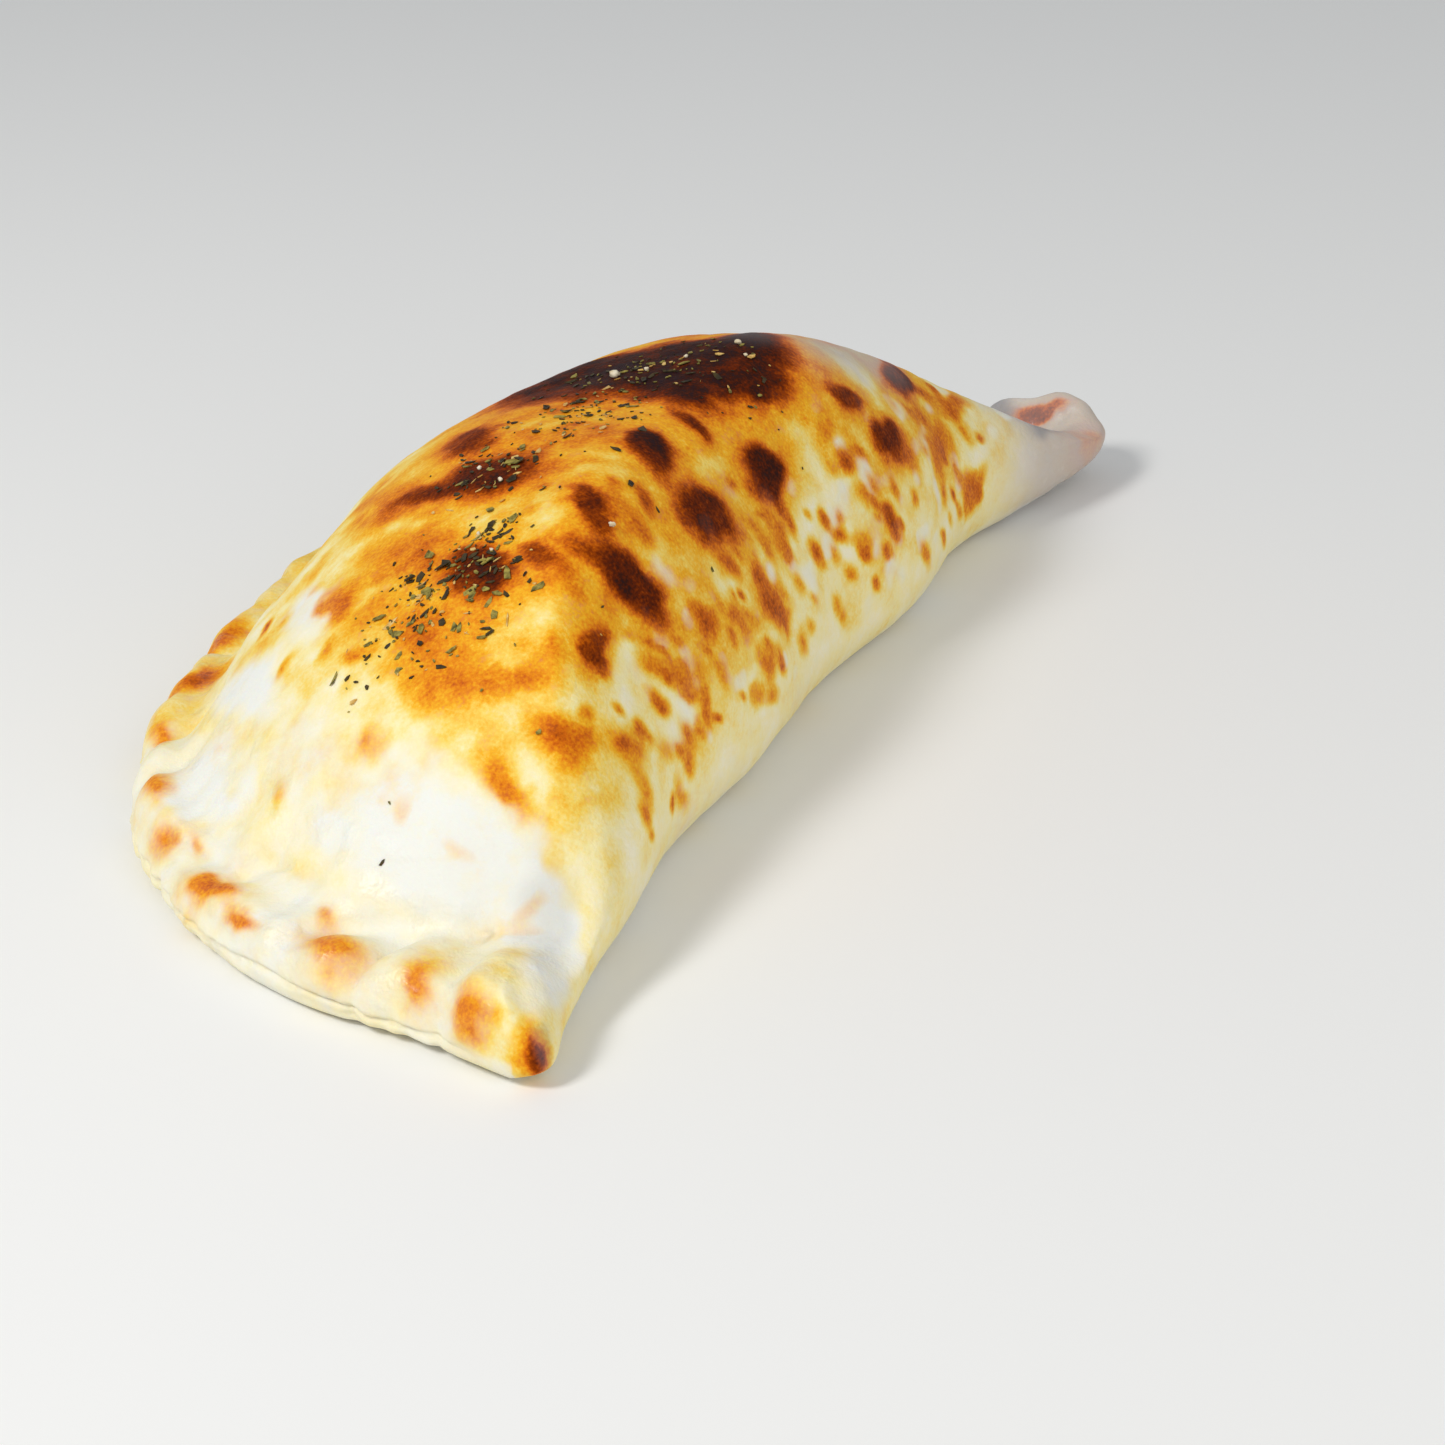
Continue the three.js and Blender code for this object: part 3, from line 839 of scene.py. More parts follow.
@dataclass(frozen=True)
class Ovals:
    """Measures how far the skin's points lie from the middles of ovals."""

    skin: SkinMesh
    facing: np.ndarray
    free_depth: float = 0.35
    depth_fade: float = 4.0

    def distance(self, oval: "Spot | Patch", wobble: np.ndarray) -> np.ndarray:
        """Measure how far points lie from the middle of an oval.

        Args:
            oval: The oval.
            wobble: How far each point is shifted, so that the oval's edge is uneven.

        Returns:
            Distances in which 1 is the oval's edge.
        """
        points = self.skin.points
        nearest = int(np.argmin(((points - np.array(oval.place, dtype=float)) ** 2).sum(axis=1)))
        out = self.facing[nearest]
        along = unit(np.array([0.0, 1.0, 0.0]) - out * out[1])
        across = np.cross(along, out)
        turn = math.radians(oval.turn)
        long_side = along * math.cos(turn) + across * math.sin(turn)
        wide_side = across * math.cos(turn) - along * math.sin(turn)
        away = points + wobble - points[nearest]
        through = np.maximum(0.0, np.abs(away @ out) - self.free_depth * oval.long)
        return np.sqrt((away @ long_side / oval.long) ** 2 + (away @ wide_side / oval.wide) ** 2
                       + (through / self.depth_fade) ** 2)


@dataclass(frozen=True)
class BakePattern:
    """How far each place of the crust is baked.

    Tones go from 0 raw to 1 charred. An edge is a pair of distances from a spot's middle, in which 1
    is the edge of its oval: where the spot begins to fade and where it ends.
    """

    shape: DoughShape
    raw_tone: float = 0.10
    slope_gain: float = 0.08
    slope: Zone = Zone(height=(10, 36))
    crown_gain: float = 0.16
    crown: Zone = Zone(height=(38, 62))
    crown_on_fold: float = 0.55
    behind_fold: Zone = Zone(across=(-22, -38))
    far_loss: float = 0.06
    far_end: Zone = Zone(along=(95, 135))
    rim_gain: float = 0.10
    rim_lobes: Zone = Zone(across=(-4, -14), height=(5, 9))
    lobe_height: float = 1.5
    lobe_limits: tuple = (-0.5, 1.2)
    foot_gain: float = 0.14
    back_rim_gain: float = 0.12
    back_rim: Zone = Zone(across=(-98, -112), along=(-90, -70), height=(18, 12))
    calm: float = 0.45
    lively: Zone = Zone(height=(10, 45))
    clouds: tuple = (
        (0.11, SmoothNoise(77, 17.0)),
        (0.17, SmoothNoise(78, 8.0)),
        (0.12, SmoothNoise(79, 3.6)),
    )

    wobble: Wobble = Wobble(87, 1.9, 6.5, 0.8, 2.4)
    full_wobble_width: float = 4.0
    unevenness: tuple = ((0.10, SmoothNoise(117, 3.4)),)
    spot_core: float = 0.42
    spot_edge: float = 1.5
    core_tones: tuple = (0.45, 0.75)
    halo_from_tone: float = 0.75
    halo_edge: tuple = (0.9, 2.3)
    halo_tone: float = 0.43
    halo_share: float = 0.8
    bubble_edge: tuple = (0.2, 1.35)
    bubble_from_tone: float = 0.35
    bubble_gain: float = 1.6
    bubble_slope: float = 0.09
    bubble_most: float = 0.9

    def spots(self) -> list[Spot]:
        """List every spot of the crust, the faint ones first."""
        named = [*PALE_SPOTS, *SOFT_BROWN, *RIM_BLISTERS, *FLANK_BLISTERS, *CROWN_BLISTERS, *CHARRED_CROWN]
        strewn = [*CROWN_FRECKLES.spots(), *FLANK_FRECKLES.spots(), *BACK_BLISTERS.spots()]
        return strewn + named

    def ground(self, skin: SkinMesh) -> np.ndarray:
        """Work out the tone between the spots: pale at the foot and golden on the crown.

        Args:
            skin: The dough's skin.

        Returns:
            One tone for each point.
        """
        points = skin.points
        x, y, _ = points.T
        crown = self.crown_on_fold + (1.0 - self.crown_on_fold) * self.behind_fold.share(points)
        relief = self.shape.rim_relief(self.shape.rim_angle(x, y), self.shape.inward(x, y))
        lobes = np.clip(relief / self.lobe_height, *self.lobe_limits)
        tone = self.raw_tone + self.slope_gain * self.slope.share(points)
        tone = tone + self.crown_gain * self.crown.share(points) * crown
        tone = tone - self.far_loss * self.far_end.share(points)
        tone = tone + self.rim_gain * self.rim_lobes.share(points) * lobes
        # Darker along the line where the slope meets the rim.
        tone = tone + self.foot_gain * self.shape.foot_line(points)
        tone = tone + self.back_rim_gain * self.back_rim.share(points)
        liveliness = self.calm + (1.0 - self.calm) * self.lively.share(points)
        return tone + liveliness * layered(self.clouds, points)

    def paint(self, skin: SkinMesh, ovals: Ovals) -> tuple[np.ndarray, np.ndarray]:
        """Bake the crust.

        Args:
            skin: The dough's skin.
            ovals: The measure of how far its points lie from a spot.

        Returns:
            The tone of each point, and how far a blister lifts it, in millimetres.
        """
        tone = self.ground(skin)
        raised = np.zeros(len(tone))
        wobble = self.wobble.at(skin.points)
        uneven = 1.0 + layered(self.unevenness, skin.points)
        for spot in self.spots():
            away = ovals.distance(spot, min(1.0, spot.wide / self.full_wobble_width) * wobble)
            core_ends = self.spot_core * ease(*self.core_tones, spot.tone)
            core = 1.0 - ease(core_ends, self.spot_edge, away)
            tone = np.maximum(tone, tone + (spot.tone * uneven - tone) * core)
            if spot.tone > self.halo_from_tone:
                halo = self.halo_share * (1.0 - ease(*self.halo_edge, away))
                tone = np.maximum(tone, tone + (self.halo_tone - tone) * halo)
            raised = np.maximum(raised, self._lift(spot) * (1.0 - ease(*self.bubble_edge, away)))
        return tone, raised

    def _lift(self, spot: Spot) -> float:
        """Give the height of the bubble under a spot: large dark ones stand out most."""
        darkness = max(0.0, spot.tone - self.bubble_from_tone)
        return min(self.bubble_most, self.bubble_slope * spot.wide) * darkness * self.bubble_gain


@dataclass(frozen=True)
class Dusting:
    """The flour on the crust, where it is greyed (painted shade towards the curled corner), where blue-grey
    shade is painted, and where it is glossy. Each share goes from 0 to 1.
    """

    shape: DoughShape
    wobble: Wobble = Wobble(131, 4.5, 15.0, 1.8, 4.5)
    patch_edge: tuple = (0.4, 1.35)

    drift: SmoothNoise = SmoothNoise(107, 12.0)
    ridge_offset: float = 134.5
    ridge_blend: tuple = (2.5, -2.5)
    ridge_wander: tuple = ((2.5, SmoothNoise(107, 12.0)), (3.0, SmoothNoise(109, 4.0)))
    rim_flour: float = 0.2
    rim_drift: float = 0.25
    rim_face: Zone = Zone(across=(-5, -15), height=(20, 12))
    near_rim_flour: float = 0.3
    near_rim: Zone = Zone(along=(-60, -100))
    seam_flour: float = 0.45
    seam_drift: float = 0.3
    seam: Zone = Zone(height=(6.5, 4))
    seam_limit: float = -4.0
    base_flour: float = 0.35
    base: Zone = Zone(height=(3, 0))
    flank_flour: float = 0.6
    flank: Zone = Zone(across=(-30, -22), along=(-90, -60), height=(12, 22))
    flank_flecks: SmoothNoise = SmoothNoise(111, 5.5)
    flank_levels: tuple = (0.15, 0.6)

    # Painted shade: the dough greys towards the curled far corner, which lies in shade.
    corner_shade: float = 0.95
    shaded_corner: Zone = Zone(across=(-74, -46), along=(96, 124))
    corner_shade_drift: tuple = ((6.0, SmoothNoise(108, 14.0)),)
    gloss_flecks: SmoothNoise = SmoothNoise(110, 3.4)
    gloss_levels: tuple = (-0.1, 0.5)
    gloss_inward: tuple = (30, 18)
    gloss_zone: Zone = Zone(across=(-2, -10), height=(4, 8))

    def _patches(self, patches: tuple[Patch, ...], skin: SkinMesh, ovals: Ovals) -> np.ndarray:
        """Lay patches with soft uneven edges and give how much of them is at each point."""
        wobble = self.wobble.at(skin.points)
        total = np.zeros(len(skin.points))
        for patch in patches:
            fading = ease(*self.patch_edge, ovals.distance(patch, wobble))
            total = np.maximum(total, patch.cover * (1.0 - fading))
        return total

    def flour(self, skin: SkinMesh, ovals: Ovals) -> np.ndarray:
        """Dust the near slope, the rim, the base and flecks of the flank with flour.

        Args:
            skin: The dough's skin.
            ovals: The measure of how far its points lie from a patch.

        Returns:
            How much flour lies at each point, 0 to 1.
        """
        points = skin.points
        x, y, _ = points.T
        drift = self.drift.at(points)
        past_ridge = x + y + self.ridge_offset + layered(self.ridge_wander, points)
        slope = self._patches(FLOUR_PATCHES, skin, ovals) * ease(*self.ridge_blend, past_ridge)
        rim = self.rim_flour + self.near_rim_flour * self.near_rim.share(points) + self.rim_drift * drift
        rim = rim * self.rim_face.share(points)
        seam = (self.seam_flour + self.seam_drift * drift) * self.seam.share(points) * (x < self.seam_limit)
        base = self.base_flour * self.base.share(points)
        flecks = ease(*self.flank_levels, self.flank_flecks.at(points))
        flank = self.flank_flour * flecks * self.flank.share(points)
        return np.clip(np.maximum.reduce([slope, rim, seam, base, flank]), 0.0, 1.0)

    def grey_and_shade(self, skin: SkinMesh, ovals: Ovals) -> np.ndarray:
        """Tell where the dough is greyish: painted shade towards the curled corner, and greyer patches beside
        the charred crown.
        """
        drifted = skin.points + layered(self.corner_shade_drift, skin.points)[:, None]
        corner = self.corner_shade * self.shaded_corner.share(drifted)
        return np.maximum(corner, self._patches(GREY_PATCHES, skin, ovals))

    def painted_shade(self, skin: SkinMesh, ovals: Ovals) -> np.ndarray:
        """Tell where dull blue-grey shade is painted: in the curled corner's hollow and at the near corner.
        """
        return self._patches(PAINTED_SHADE_PATCHES, skin, ovals)

    def gloss(self, skin: SkinMesh) -> np.ndarray:
        """Tell where the crust shines: in small places of the rim that faces the near end."""
        x, y, _ = skin.points.T
        rim = ease(*self.gloss_inward, self.shape.inward(x, y)) * self.gloss_zone.share(skin.points)
        return rim * ease(*self.gloss_levels, self.gloss_flecks.at(skin.points))


@dataclass(frozen=True)
class CrustRelief:
    """The low relief of the crust: swellings, grain, pinched creases and the seam in the rim."""

    shape: DoughShape
    swellings: tuple = (
        (0.8, SmoothNoise(411, 31.0)),
        (0.4, SmoothNoise(412, 13.0)),
        (0.14, SmoothNoise(413, 5.0)),
        (0.07, SmoothNoise(414, 2.4)),
    )
    off_the_base: Zone = Zone(height=(0.4, 3))
    foot_depth: float = 1.0

    pucker_height: float = 1.2
    puckers: SmoothNoise = SmoothNoise(418, 7.0)
    pucker_stretch: float = 0.3
    pucker_inward: tuple = (26, 12)
    puckered: Zone = Zone(across=(-6, -16), height=(4, 8))

    seam_height: float = 4.7
    seam_wander: tuple = ((1.1, SmoothNoise(416, 12.0)), (0.6, SmoothNoise(417, 4.0)))
    seam_depth: float = 0.9
    seam_half_width: float = 0.55
    seam_inward: tuple = (5.0, 0.5)
    seam: Zone = Zone(across=(-10, -22))
    torn_edge: tuple = ((0.55, SmoothNoise(419, 2.6)),)
    torn: Zone = Zone(height=(7.5, 5))

    pinch_depth: float = 1.0
    pinch_half_width: float = 1.4
    pinch_slant: float = 0.35
    pinch_inward: tuple = (22, 10)
    pinched: Zone = Zone(across=(-4, -14))

    pocket_place: tuple = (-22, 140)
    pocket_reach: tuple = (10, 5.5)
    pocket_depth: float = 3.5
    pocket: Zone = Zone(height=(9, 11))
    fold_depth: float = 0.9
    fold_half_width: float = 1.5

    def heights(self, skin: SkinMesh) -> np.ndarray:
        """Work out how far each point moves outward.

        Args:
            skin: The dough's skin.

        Returns:
            Millimetres to move along the outward direction.
        """
        total = layered(self.swellings, skin.points)
        total = total + self._puckers(skin) - self.foot_depth * self.shape.foot_line(skin.points)
        total = total + self._seam(skin) + self._pinches(skin) + self._folds(skin) + self._pocket(skin)
        return total * self.off_the_base.share(skin.points)

    def _puckers(self, skin: SkinMesh) -> np.ndarray:
        """Pucker the pressed rim in folds that run inward from its edge."""
        x, y, _ = skin.points.T
        inward = self.shape.inward(x, y)
        around = self.shape.rim_angle(x, y) * self.shape.disc_radius
        places = np.stack([around, self.pucker_stretch * inward, 0 * inward], axis=1)
        height = self.pucker_height * self.puckers.at(places)
        return height * ease(*self.pucker_inward, inward) * self.puckered.share(skin.points)

    def _seam(self, skin: SkinMesh) -> np.ndarray:
        """Cut the line between the two layers of dough along the rim's face, with its torn edge."""
        x, y, z = skin.points.T
        height = self.seam_height + layered(self.seam_wander, skin.points)
        groove = self.seam_depth * bell((z - height) / self.seam_half_width)
        inward = self.shape.inward(x, y) + self.shape.rim_outset(self.shape.rim_angle(x, y))
        face = ease(*self.seam_inward, inward) * self.seam.share(skin.points)
        return (layered(self.torn_edge, skin.points) * self.torn.share(skin.points) - groove) * face

    def _pocket(self, skin: SkinMesh) -> np.ndarray:
        """Deepen the hollow in the curled corner."""
        x, y, _ = skin.points.T
        away_x = (x - self.pocket_place[0]) / self.pocket_reach[0]
        away_y = (y - self.pocket_place[1]) / self.pocket_reach[1]
        return -self.pocket_depth * bell(away_x, away_y) * self.pocket.share(skin.points)

    def _pinches(self, skin: SkinMesh) -> np.ndarray:
        """Cut the sharp bottoms of the creases across the rim, each slanted and deep in its own way."""
        x, y, _ = skin.points.T
        angle = self.shape.rim_angle(x, y)
        inward = self.shape.inward(x, y)
        total = np.zeros(len(x))
        for i, degrees in enumerate(self.shape.crease_angles):
            away = (angle - math.radians(degrees)) * self.shape.disc_radius
            slant = self.pinch_slant * inward * math.sin(3.1 * i)
            depth = self.pinch_depth * (0.55 + 0.45 * math.sin(2.1 * i))
            total -= depth * bell((away - slant) / self.pinch_half_width)
        return total * ease(*self.pinch_inward, inward) * self.pinched.share(skin.points)

    def _folds(self, skin: SkinMesh) -> np.ndarray:
        """Cut the sharp bottoms of the pleats."""
        x, y, _ = skin.points.T
        away = [pleat.distance(x, y) / self.fold_half_width for pleat in self.shape.pleats]
        return -self.fold_depth * bell(np.minimum.reduce(away))


class NodeBench:
    """Sets out the nodes of one material."""

    def __init__(self, name: str) -> None:
        """Start an empty material.

        Args:
            name: The material's name.
        """
        self.material = bpy.data.materials.new(name)
        self.material.use_nodes = True
        self.tree = self.material.node_tree
        self.shader = self.tree.nodes["Principled BSDF"]

    def link(self, source: bpy.types.NodeSocket, target: bpy.types.NodeSocket) -> None:
        """Join two sockets."""
        self.tree.links.new(source, target)

    def attribute(self, name: str) -> bpy.types.NodeSocket:
        """Read a number kept at the points of the mesh."""
        node = self.tree.nodes.new("ShaderNodeAttribute")
        node.attribute_name = name
        return node.outputs["Fac"]

    def noise(self, feature: float, detail: float = 3.0, roughness: float = 0.55) -> bpy.types.NodeSocket:
        """Make smooth noise in the object's own space.

        Args:
            feature: Size of its blotches in millimetres.
            detail: How many finer layers it has.
            roughness: How strong the finer layers are.

        Returns:
            A number from 0 to 1.
        """
        place = self.tree.nodes.new("ShaderNodeTexCoord")
        node = self.tree.nodes.new("ShaderNodeTexNoise")
        node.inputs["Scale"].default_value = 1.0 / (feature * MM)
        node.inputs["Detail"].default_value = detail
        node.inputs["Roughness"].default_value = roughness
        self.link(place.outputs["Object"], node.inputs["Vector"])
        return node.outputs["Fac"]

    def reckon(self, operation: str, first: bpy.types.NodeSocket,
               second: "bpy.types.NodeSocket | float") -> bpy.types.NodeSocket:
        """Work out a sum.

        Args:
            operation: Blender's name for it, such as ADD.
            first: A socket.
            second: A socket or a number.

        Returns:
            The result.
        """
        node = self.tree.nodes.new("ShaderNodeMath")
        node.operation = operation
        self.link(first, node.inputs[0])
        if isinstance(second, bpy.types.NodeSocket):
            self.link(second, node.inputs[1])
        else:
            node.inputs[1].default_value = second
        return node.outputs[0]

    def plus(self, first: bpy.types.NodeSocket, second: bpy.types.NodeSocket) -> bpy.types.NodeSocket:
        """Add two numbers."""
        return self.reckon("ADD", first, second)

    def times(self, first: bpy.types.NodeSocket,
              second: "bpy.types.NodeSocket | float") -> bpy.types.NodeSocket:
        """Multiply two numbers."""
        return self.reckon("MULTIPLY", first, second)

    def swing(self, feature: float, detail: float) -> bpy.types.NodeSocket:
        """Make noise that swings about 0, with blotches of a size in millimetres."""
        return self.reckon("SUBTRACT", self.noise(feature, detail), 0.5)

    def span(self, value: bpy.types.NodeSocket, source: tuple[float, float],
             target: tuple[float, float]) -> bpy.types.NodeSocket:
        """Stretch a number from one range to another, kept within the new range."""
        node = self.tree.nodes.new("ShaderNodeMapRange")
        self.link(value, node.inputs["Value"])
        names = ("From Min", "From Max", "To Min", "To Max")
        for name, number in zip(names, (*source, *target)):
            node.inputs[name].default_value = number
        return node.outputs[0]

    def ramp(self, value: bpy.types.NodeSocket, stops: list[tuple[float, "Shade"]]) -> bpy.types.NodeSocket:
        """Turn a number into a colour.

        Args:
            value: A number from 0 to 1.
            stops: Places and their shades, in order.

        Returns:
            The colour.
        """
        node = self.tree.nodes.new("ShaderNodeValToRGB")
        elements = node.color_ramp.elements
        while len(elements) < len(stops):
            elements.new(0.5)
        for element, (place, shade) in zip(elements, stops):
            element.position = place
            element.color = shade.linear()
        self.link(value, node.inputs["Fac"])
        return node.outputs["Color"]

    def blend(self, share: bpy.types.NodeSocket, under: bpy.types.NodeSocket,
              over: "bpy.types.NodeSocket | Shade") -> bpy.types.NodeSocket:
        """Lay one colour over another.

        Args:
            share: How much of the upper one shows.
            under: The lower colour.
            over: The upper colour.

        Returns:
            The mixed colour.
        """
        node = self.tree.nodes.new("ShaderNodeMix")
        node.data_type = "RGBA"
        self.link(share, node.inputs[0])
        self.link(under, node.inputs[6])
        if isinstance(over, Shade):
            node.inputs[7].default_value = over.linear()
        else:
            self.link(over, node.inputs[7])
        return node.outputs[2]

    def bump(self, height: bpy.types.NodeSocket, distance: float, strength: float) -> None:
        """Roughen the surface by a height in millimetres."""
        node = self.tree.nodes.new("ShaderNodeBump")
        node.inputs["Distance"].default_value = distance * MM
        node.inputs["Strength"].default_value = strength
        self.link(height, node.inputs["Height"])
        self.link(node.outputs["Normal"], self.shader.inputs["Normal"])


@dataclass(frozen=True)
class Shade:
    """A colour as it is seen, each channel from 0 to 255."""

    red: float
    green: float
    blue: float

    def linear(self) -> tuple[float, float, float, float]:
        """Give the colour in the measure that light is reckoned in."""
        channels = []
        for value in (self.red, self.green, self.blue):
            share = value / 255.0
            channels.append(share / 12.92 if share <= 0.04045 else ((share + 0.055) / 1.055) ** 2.4)
        return (*channels, 1.0)


@dataclass(frozen=True)
class CrustFinish:
    """Baked dough: cream to gold, browned to char at its blisters, with flour over it, greyer patches, and
    painted grey and blue-grey shade.
    """

    raw: Shade = Shade(250, 241, 208)
    cream: Shade = Shade(249, 233, 166)
    pale_gold: Shade = Shade(248, 211, 94)
    gold: Shade = Shade(245, 179, 26)
    amber: Shade = Shade(233, 140, 8)
    orange_brown: Shade = Shade(208, 102, 8)
    brown: Shade = Shade(152, 64, 6)
    dark_brown: Shade = Shade(100, 36, 8)
    char: Shade = Shade(60, 26, 16)
    # The faint purple of the blackest char is partly a painted sheen of reflected sky.
    black_char_and_sheen: Shade = Shade(44, 25, 28)
    flour: Shade = Shade(238, 240, 236)
    # The grey of the painted shade at the curled corner and of the greyer patches.
    grey_and_shade: Shade = Shade(198, 188, 187)
    # The dull blue-grey of the painted shade.
    painted_shade: Shade = Shade(124, 128, 138)
    grain_size: float = 0.75
    fleck_size: float = 1.8
    blotch_size: float = 4.5
    speckle: float = 0.34
    mottle: float = 0.16
    flecks: float = 0.14
    roughness: tuple = (0.66, 0.48)
    flour_roughness: float = 0.25
    gloss_smoothness: float = 0.34
    shine: tuple = (0.3, 0.02)
    gloss_shine: float = 0.3
    bump_distance: float = 0.4
    bump_strength: float = 0.4

    def make(self) -> bpy.types.Material:
        """Build the material."""
        bench = NodeBench("crust")
        bake = bench.attribute("bake")
        gloss = bench.attribute("gloss")
        liveliness = bench.span(bake, (0.15, 0.5), (0.35, 1.0))
        grain = bench.times(bench.times(bench.swing(self.grain_size, 2.0), self.speckle), liveliness)
        blotch = bench.swing(self.blotch_size, 3.0)
        cover = self._cover(bench, bake, grain, blotch)
        colour = self._baked(bench, bake, grain, blotch)
        colour = bench.blend(cover, colour, self.flour)
        # Lay the painted blue-grey shade over the colour.
        colour = bench.blend(bench.attribute("painted_shade"), colour, self.painted_shade)
        bench.link(colour, bench.shader.inputs["Base Color"])
        self._shine(bench, bake, gloss, cover)
        self._glow(bench)
        self._roughen(bench, gloss)
        return bench.material

    def _baked(self, bench: NodeBench, bake: bpy.types.NodeSocket, grain: bpy.types.NodeSocket,
               blotch: bpy.types.NodeSocket) -> bpy.types.NodeSocket:
        """Colour the dough by how far it is baked, unevenly, and grey it where it is pale: painted shade
        towards the curled corner, greyer patches beside the charred crown.

        Args:
            bench: The bench of the material.
            bake: How far each place is baked.
            grain: The fine noise.
            blotch: The broad noise.

        Returns:
            The colour.
        """
        fleck = bench.swing(self.fleck_size, 2.0)
        tone = bench.plus(bake, grain)
        tone = bench.plus(tone, bench.times(blotch, self.mottle))
        tone = bench.plus(tone, bench.times(fleck, self.flecks))
        colour = bench.ramp(tone, [
            (0.00, self.raw), (0.13, self.cream), (0.25, self.pale_gold), (0.36, self.gold),
            (0.47, self.amber), (0.58, self.orange_brown), (0.70, self.brown),
            (0.82, self.dark_brown), (0.92, self.char), (1.00, self.black_char_and_sheen),
        ])
        # Grey towards the curled corner is painted shade; beside the charred crown it makes greyer patches.
        grey = bench.times(bench.attribute("grey_and_shade"), bench.span(bake, (0.40, 0.58), (0.9, 0.3)))
        return bench.blend(grey, colour, self.grey_and_shade)

    def _cover(self, bench: NodeBench, bake: bpy.types.NodeSocket, grain: bpy.types.NodeSocket,
               blotch: bpy.types.NodeSocket) -> bpy.types.NodeSocket:
        """Work out how much flour hides the dough: little of it clings to what is browned.

        Args:
            bench: The bench of the material.
            bake: How far each place is baked.
            grain: The fine noise.
            blotch: The broad noise.

        Returns:
            The share of flour.
        """
        dust = bench.plus(bench.attribute("flour"), bench.times(blotch, 0.9))
        dust = bench.plus(dust, bench.times(grain, 1.5))
        cover = bench.span(dust, (0.1, 0.9), (0.0, 0.93))
        return bench.times(cover, bench.span(bake, (0.27, 0.46), (1.0, 0.03)))

    def _shine(self, bench: NodeBench, bake: bpy.types.NodeSocket, gloss: bpy.types.NodeSocket,
               cover: bpy.types.NodeSocket) -> None:
        """Set how rough the skin is and how strongly it shines: flour is roughest, char shines least."""
        rough = bench.span(bake, (0.2, 0.9), self.roughness)
        rough = bench.plus(rough, bench.times(cover, self.flour_roughness))
        rough = bench.reckon("SUBTRACT", rough, bench.times(gloss, self.gloss_smoothness))
        bench.link(rough, bench.shader.inputs["Roughness"])
        shine = bench.plus(bench.span(bake, (0.25, 0.7), self.shine), bench.times(gloss, self.gloss_shine))
        bench.link(shine, bench.shader.inputs["Specular IOR Level"])

    def _glow(self, bench: NodeBench) -> None:
        """Let a little light into the dough."""
        bench.shader.inputs["Subsurface Weight"].default_value = 0.08
        bench.shader.inputs["Subsurface Radius"].default_value = (1.0, 0.5, 0.2)
        bench.shader.inputs["Subsurface Scale"].default_value = 2.5 * MM

    def _roughen(self, bench: NodeBench, gloss: bpy.types.NodeSocket) -> None:
        """Roughen the skin finely all over, and more where it is glossy."""
        lumps = bench.plus(bench.noise(0.9, 3.0), bench.noise(2.8, 2.0))
        glossy_lumps = bench.times(bench.times(gloss, 2.5), bench.noise(2.0, 2.0))
        bench.bump(bench.plus(lumps, glossy_lumps), self.bump_distance, self.bump_strength)


class HerbKind(Enum):
    """The sorts of dried herb on the crust. Each value starts the name of the sort's piece."""

    GREEN = "herb_green"
    DARK = "herb_dark"
    STRAW = "herb_straw"


@dataclass(frozen=True)
class HerbFinish:
    """Dried leaf, stalk or crumb, mottled in two shades."""

    name: str
    shade: Shade
    second: Shade
    roughness: float = 0.5

    def make(self) -> bpy.types.Material:
        """Build the material."""
        bench = NodeBench(self.name)
        colour = bench.ramp(bench.noise(1.3, 3.0), [(0.35, self.shade), (0.62, self.second)])
        bench.link(colour, bench.shader.inputs["Base Color"])
        bench.shader.inputs["Roughness"].default_value = self.roughness
        bench.shader.inputs["Specular IOR Level"].default_value = 0.3
        bench.bump(bench.noise(0.4, 2.0), 0.15, 0.4)
        return bench.material


HERB_FINISHES = {
    HerbKind.GREEN: HerbFinish("herb_green", Shade(80, 72, 22), Shade(164, 148, 66)),
    HerbKind.DARK: HerbFinish("herb_dark", Shade(34, 26, 12), Shade(72, 58, 22)),
    HerbKind.STRAW: HerbFinish("herb_straw", Shade(200, 150, 62), Shade(226, 192, 118)),
}
CRUMB_FINISH = HerbFinish("crumb", Shade(206, 186, 146), Shade(240, 230, 204), 0.6)


class MeshMaker:
    """Turns points and faces into Blender objects of the part."""

    def make(self, name: str, points: np.ndarray, faces: "np.ndarray | list",
             material: bpy.types.Material, smooth: bool = True) -> bpy.types.Object:
        """Make an object.

        Args:
            name: The piece's name.
            points: Its points in metres, in the frame of the part.
            faces: Its faces, as rows of point numbers.
            material: Its finish.
            smooth: Whether its faces are shaded as one smooth skin.

        Returns:
            The object, placed in the scene.
        """
        mesh = bpy.data.meshes.new(name)
        mesh.from_pydata(np.asarray(points).tolist(), [], np.asarray(faces).tolist())
        mesh.validate()
        mesh.materials.append(material)
        mesh.polygons.foreach_set("use_smooth", [smooth] * len(mesh.polygons))
        mesh.update()
        piece = bpy.data.objects.new(name, mesh)
        bpy.context.collection.objects.link(piece)
        return piece

    def keep(self, piece: bpy.types.Object, name: str, values: np.ndarray) -> None:
        """Keep a number at each point of a piece's mesh."""
        layer = piece.data.attributes.new(name, "FLOAT", "POINT")
        layer.data.foreach_set("value", values.astype(np.float32))


@dataclass
class Heap:
    """Small pieces gathered into one mesh: their points in metres, and their faces."""

    points: list = field(default_factory=list)
    faces: list = field(default_factory=list)

    def add(self, points: list, faces: list) -> None:
        """Add one small piece."""
        start = len(self.points)
        self.points.extend(tuple(point) for point in points)
        self.faces.extend(tuple(start + i for i in face) for face in faces)


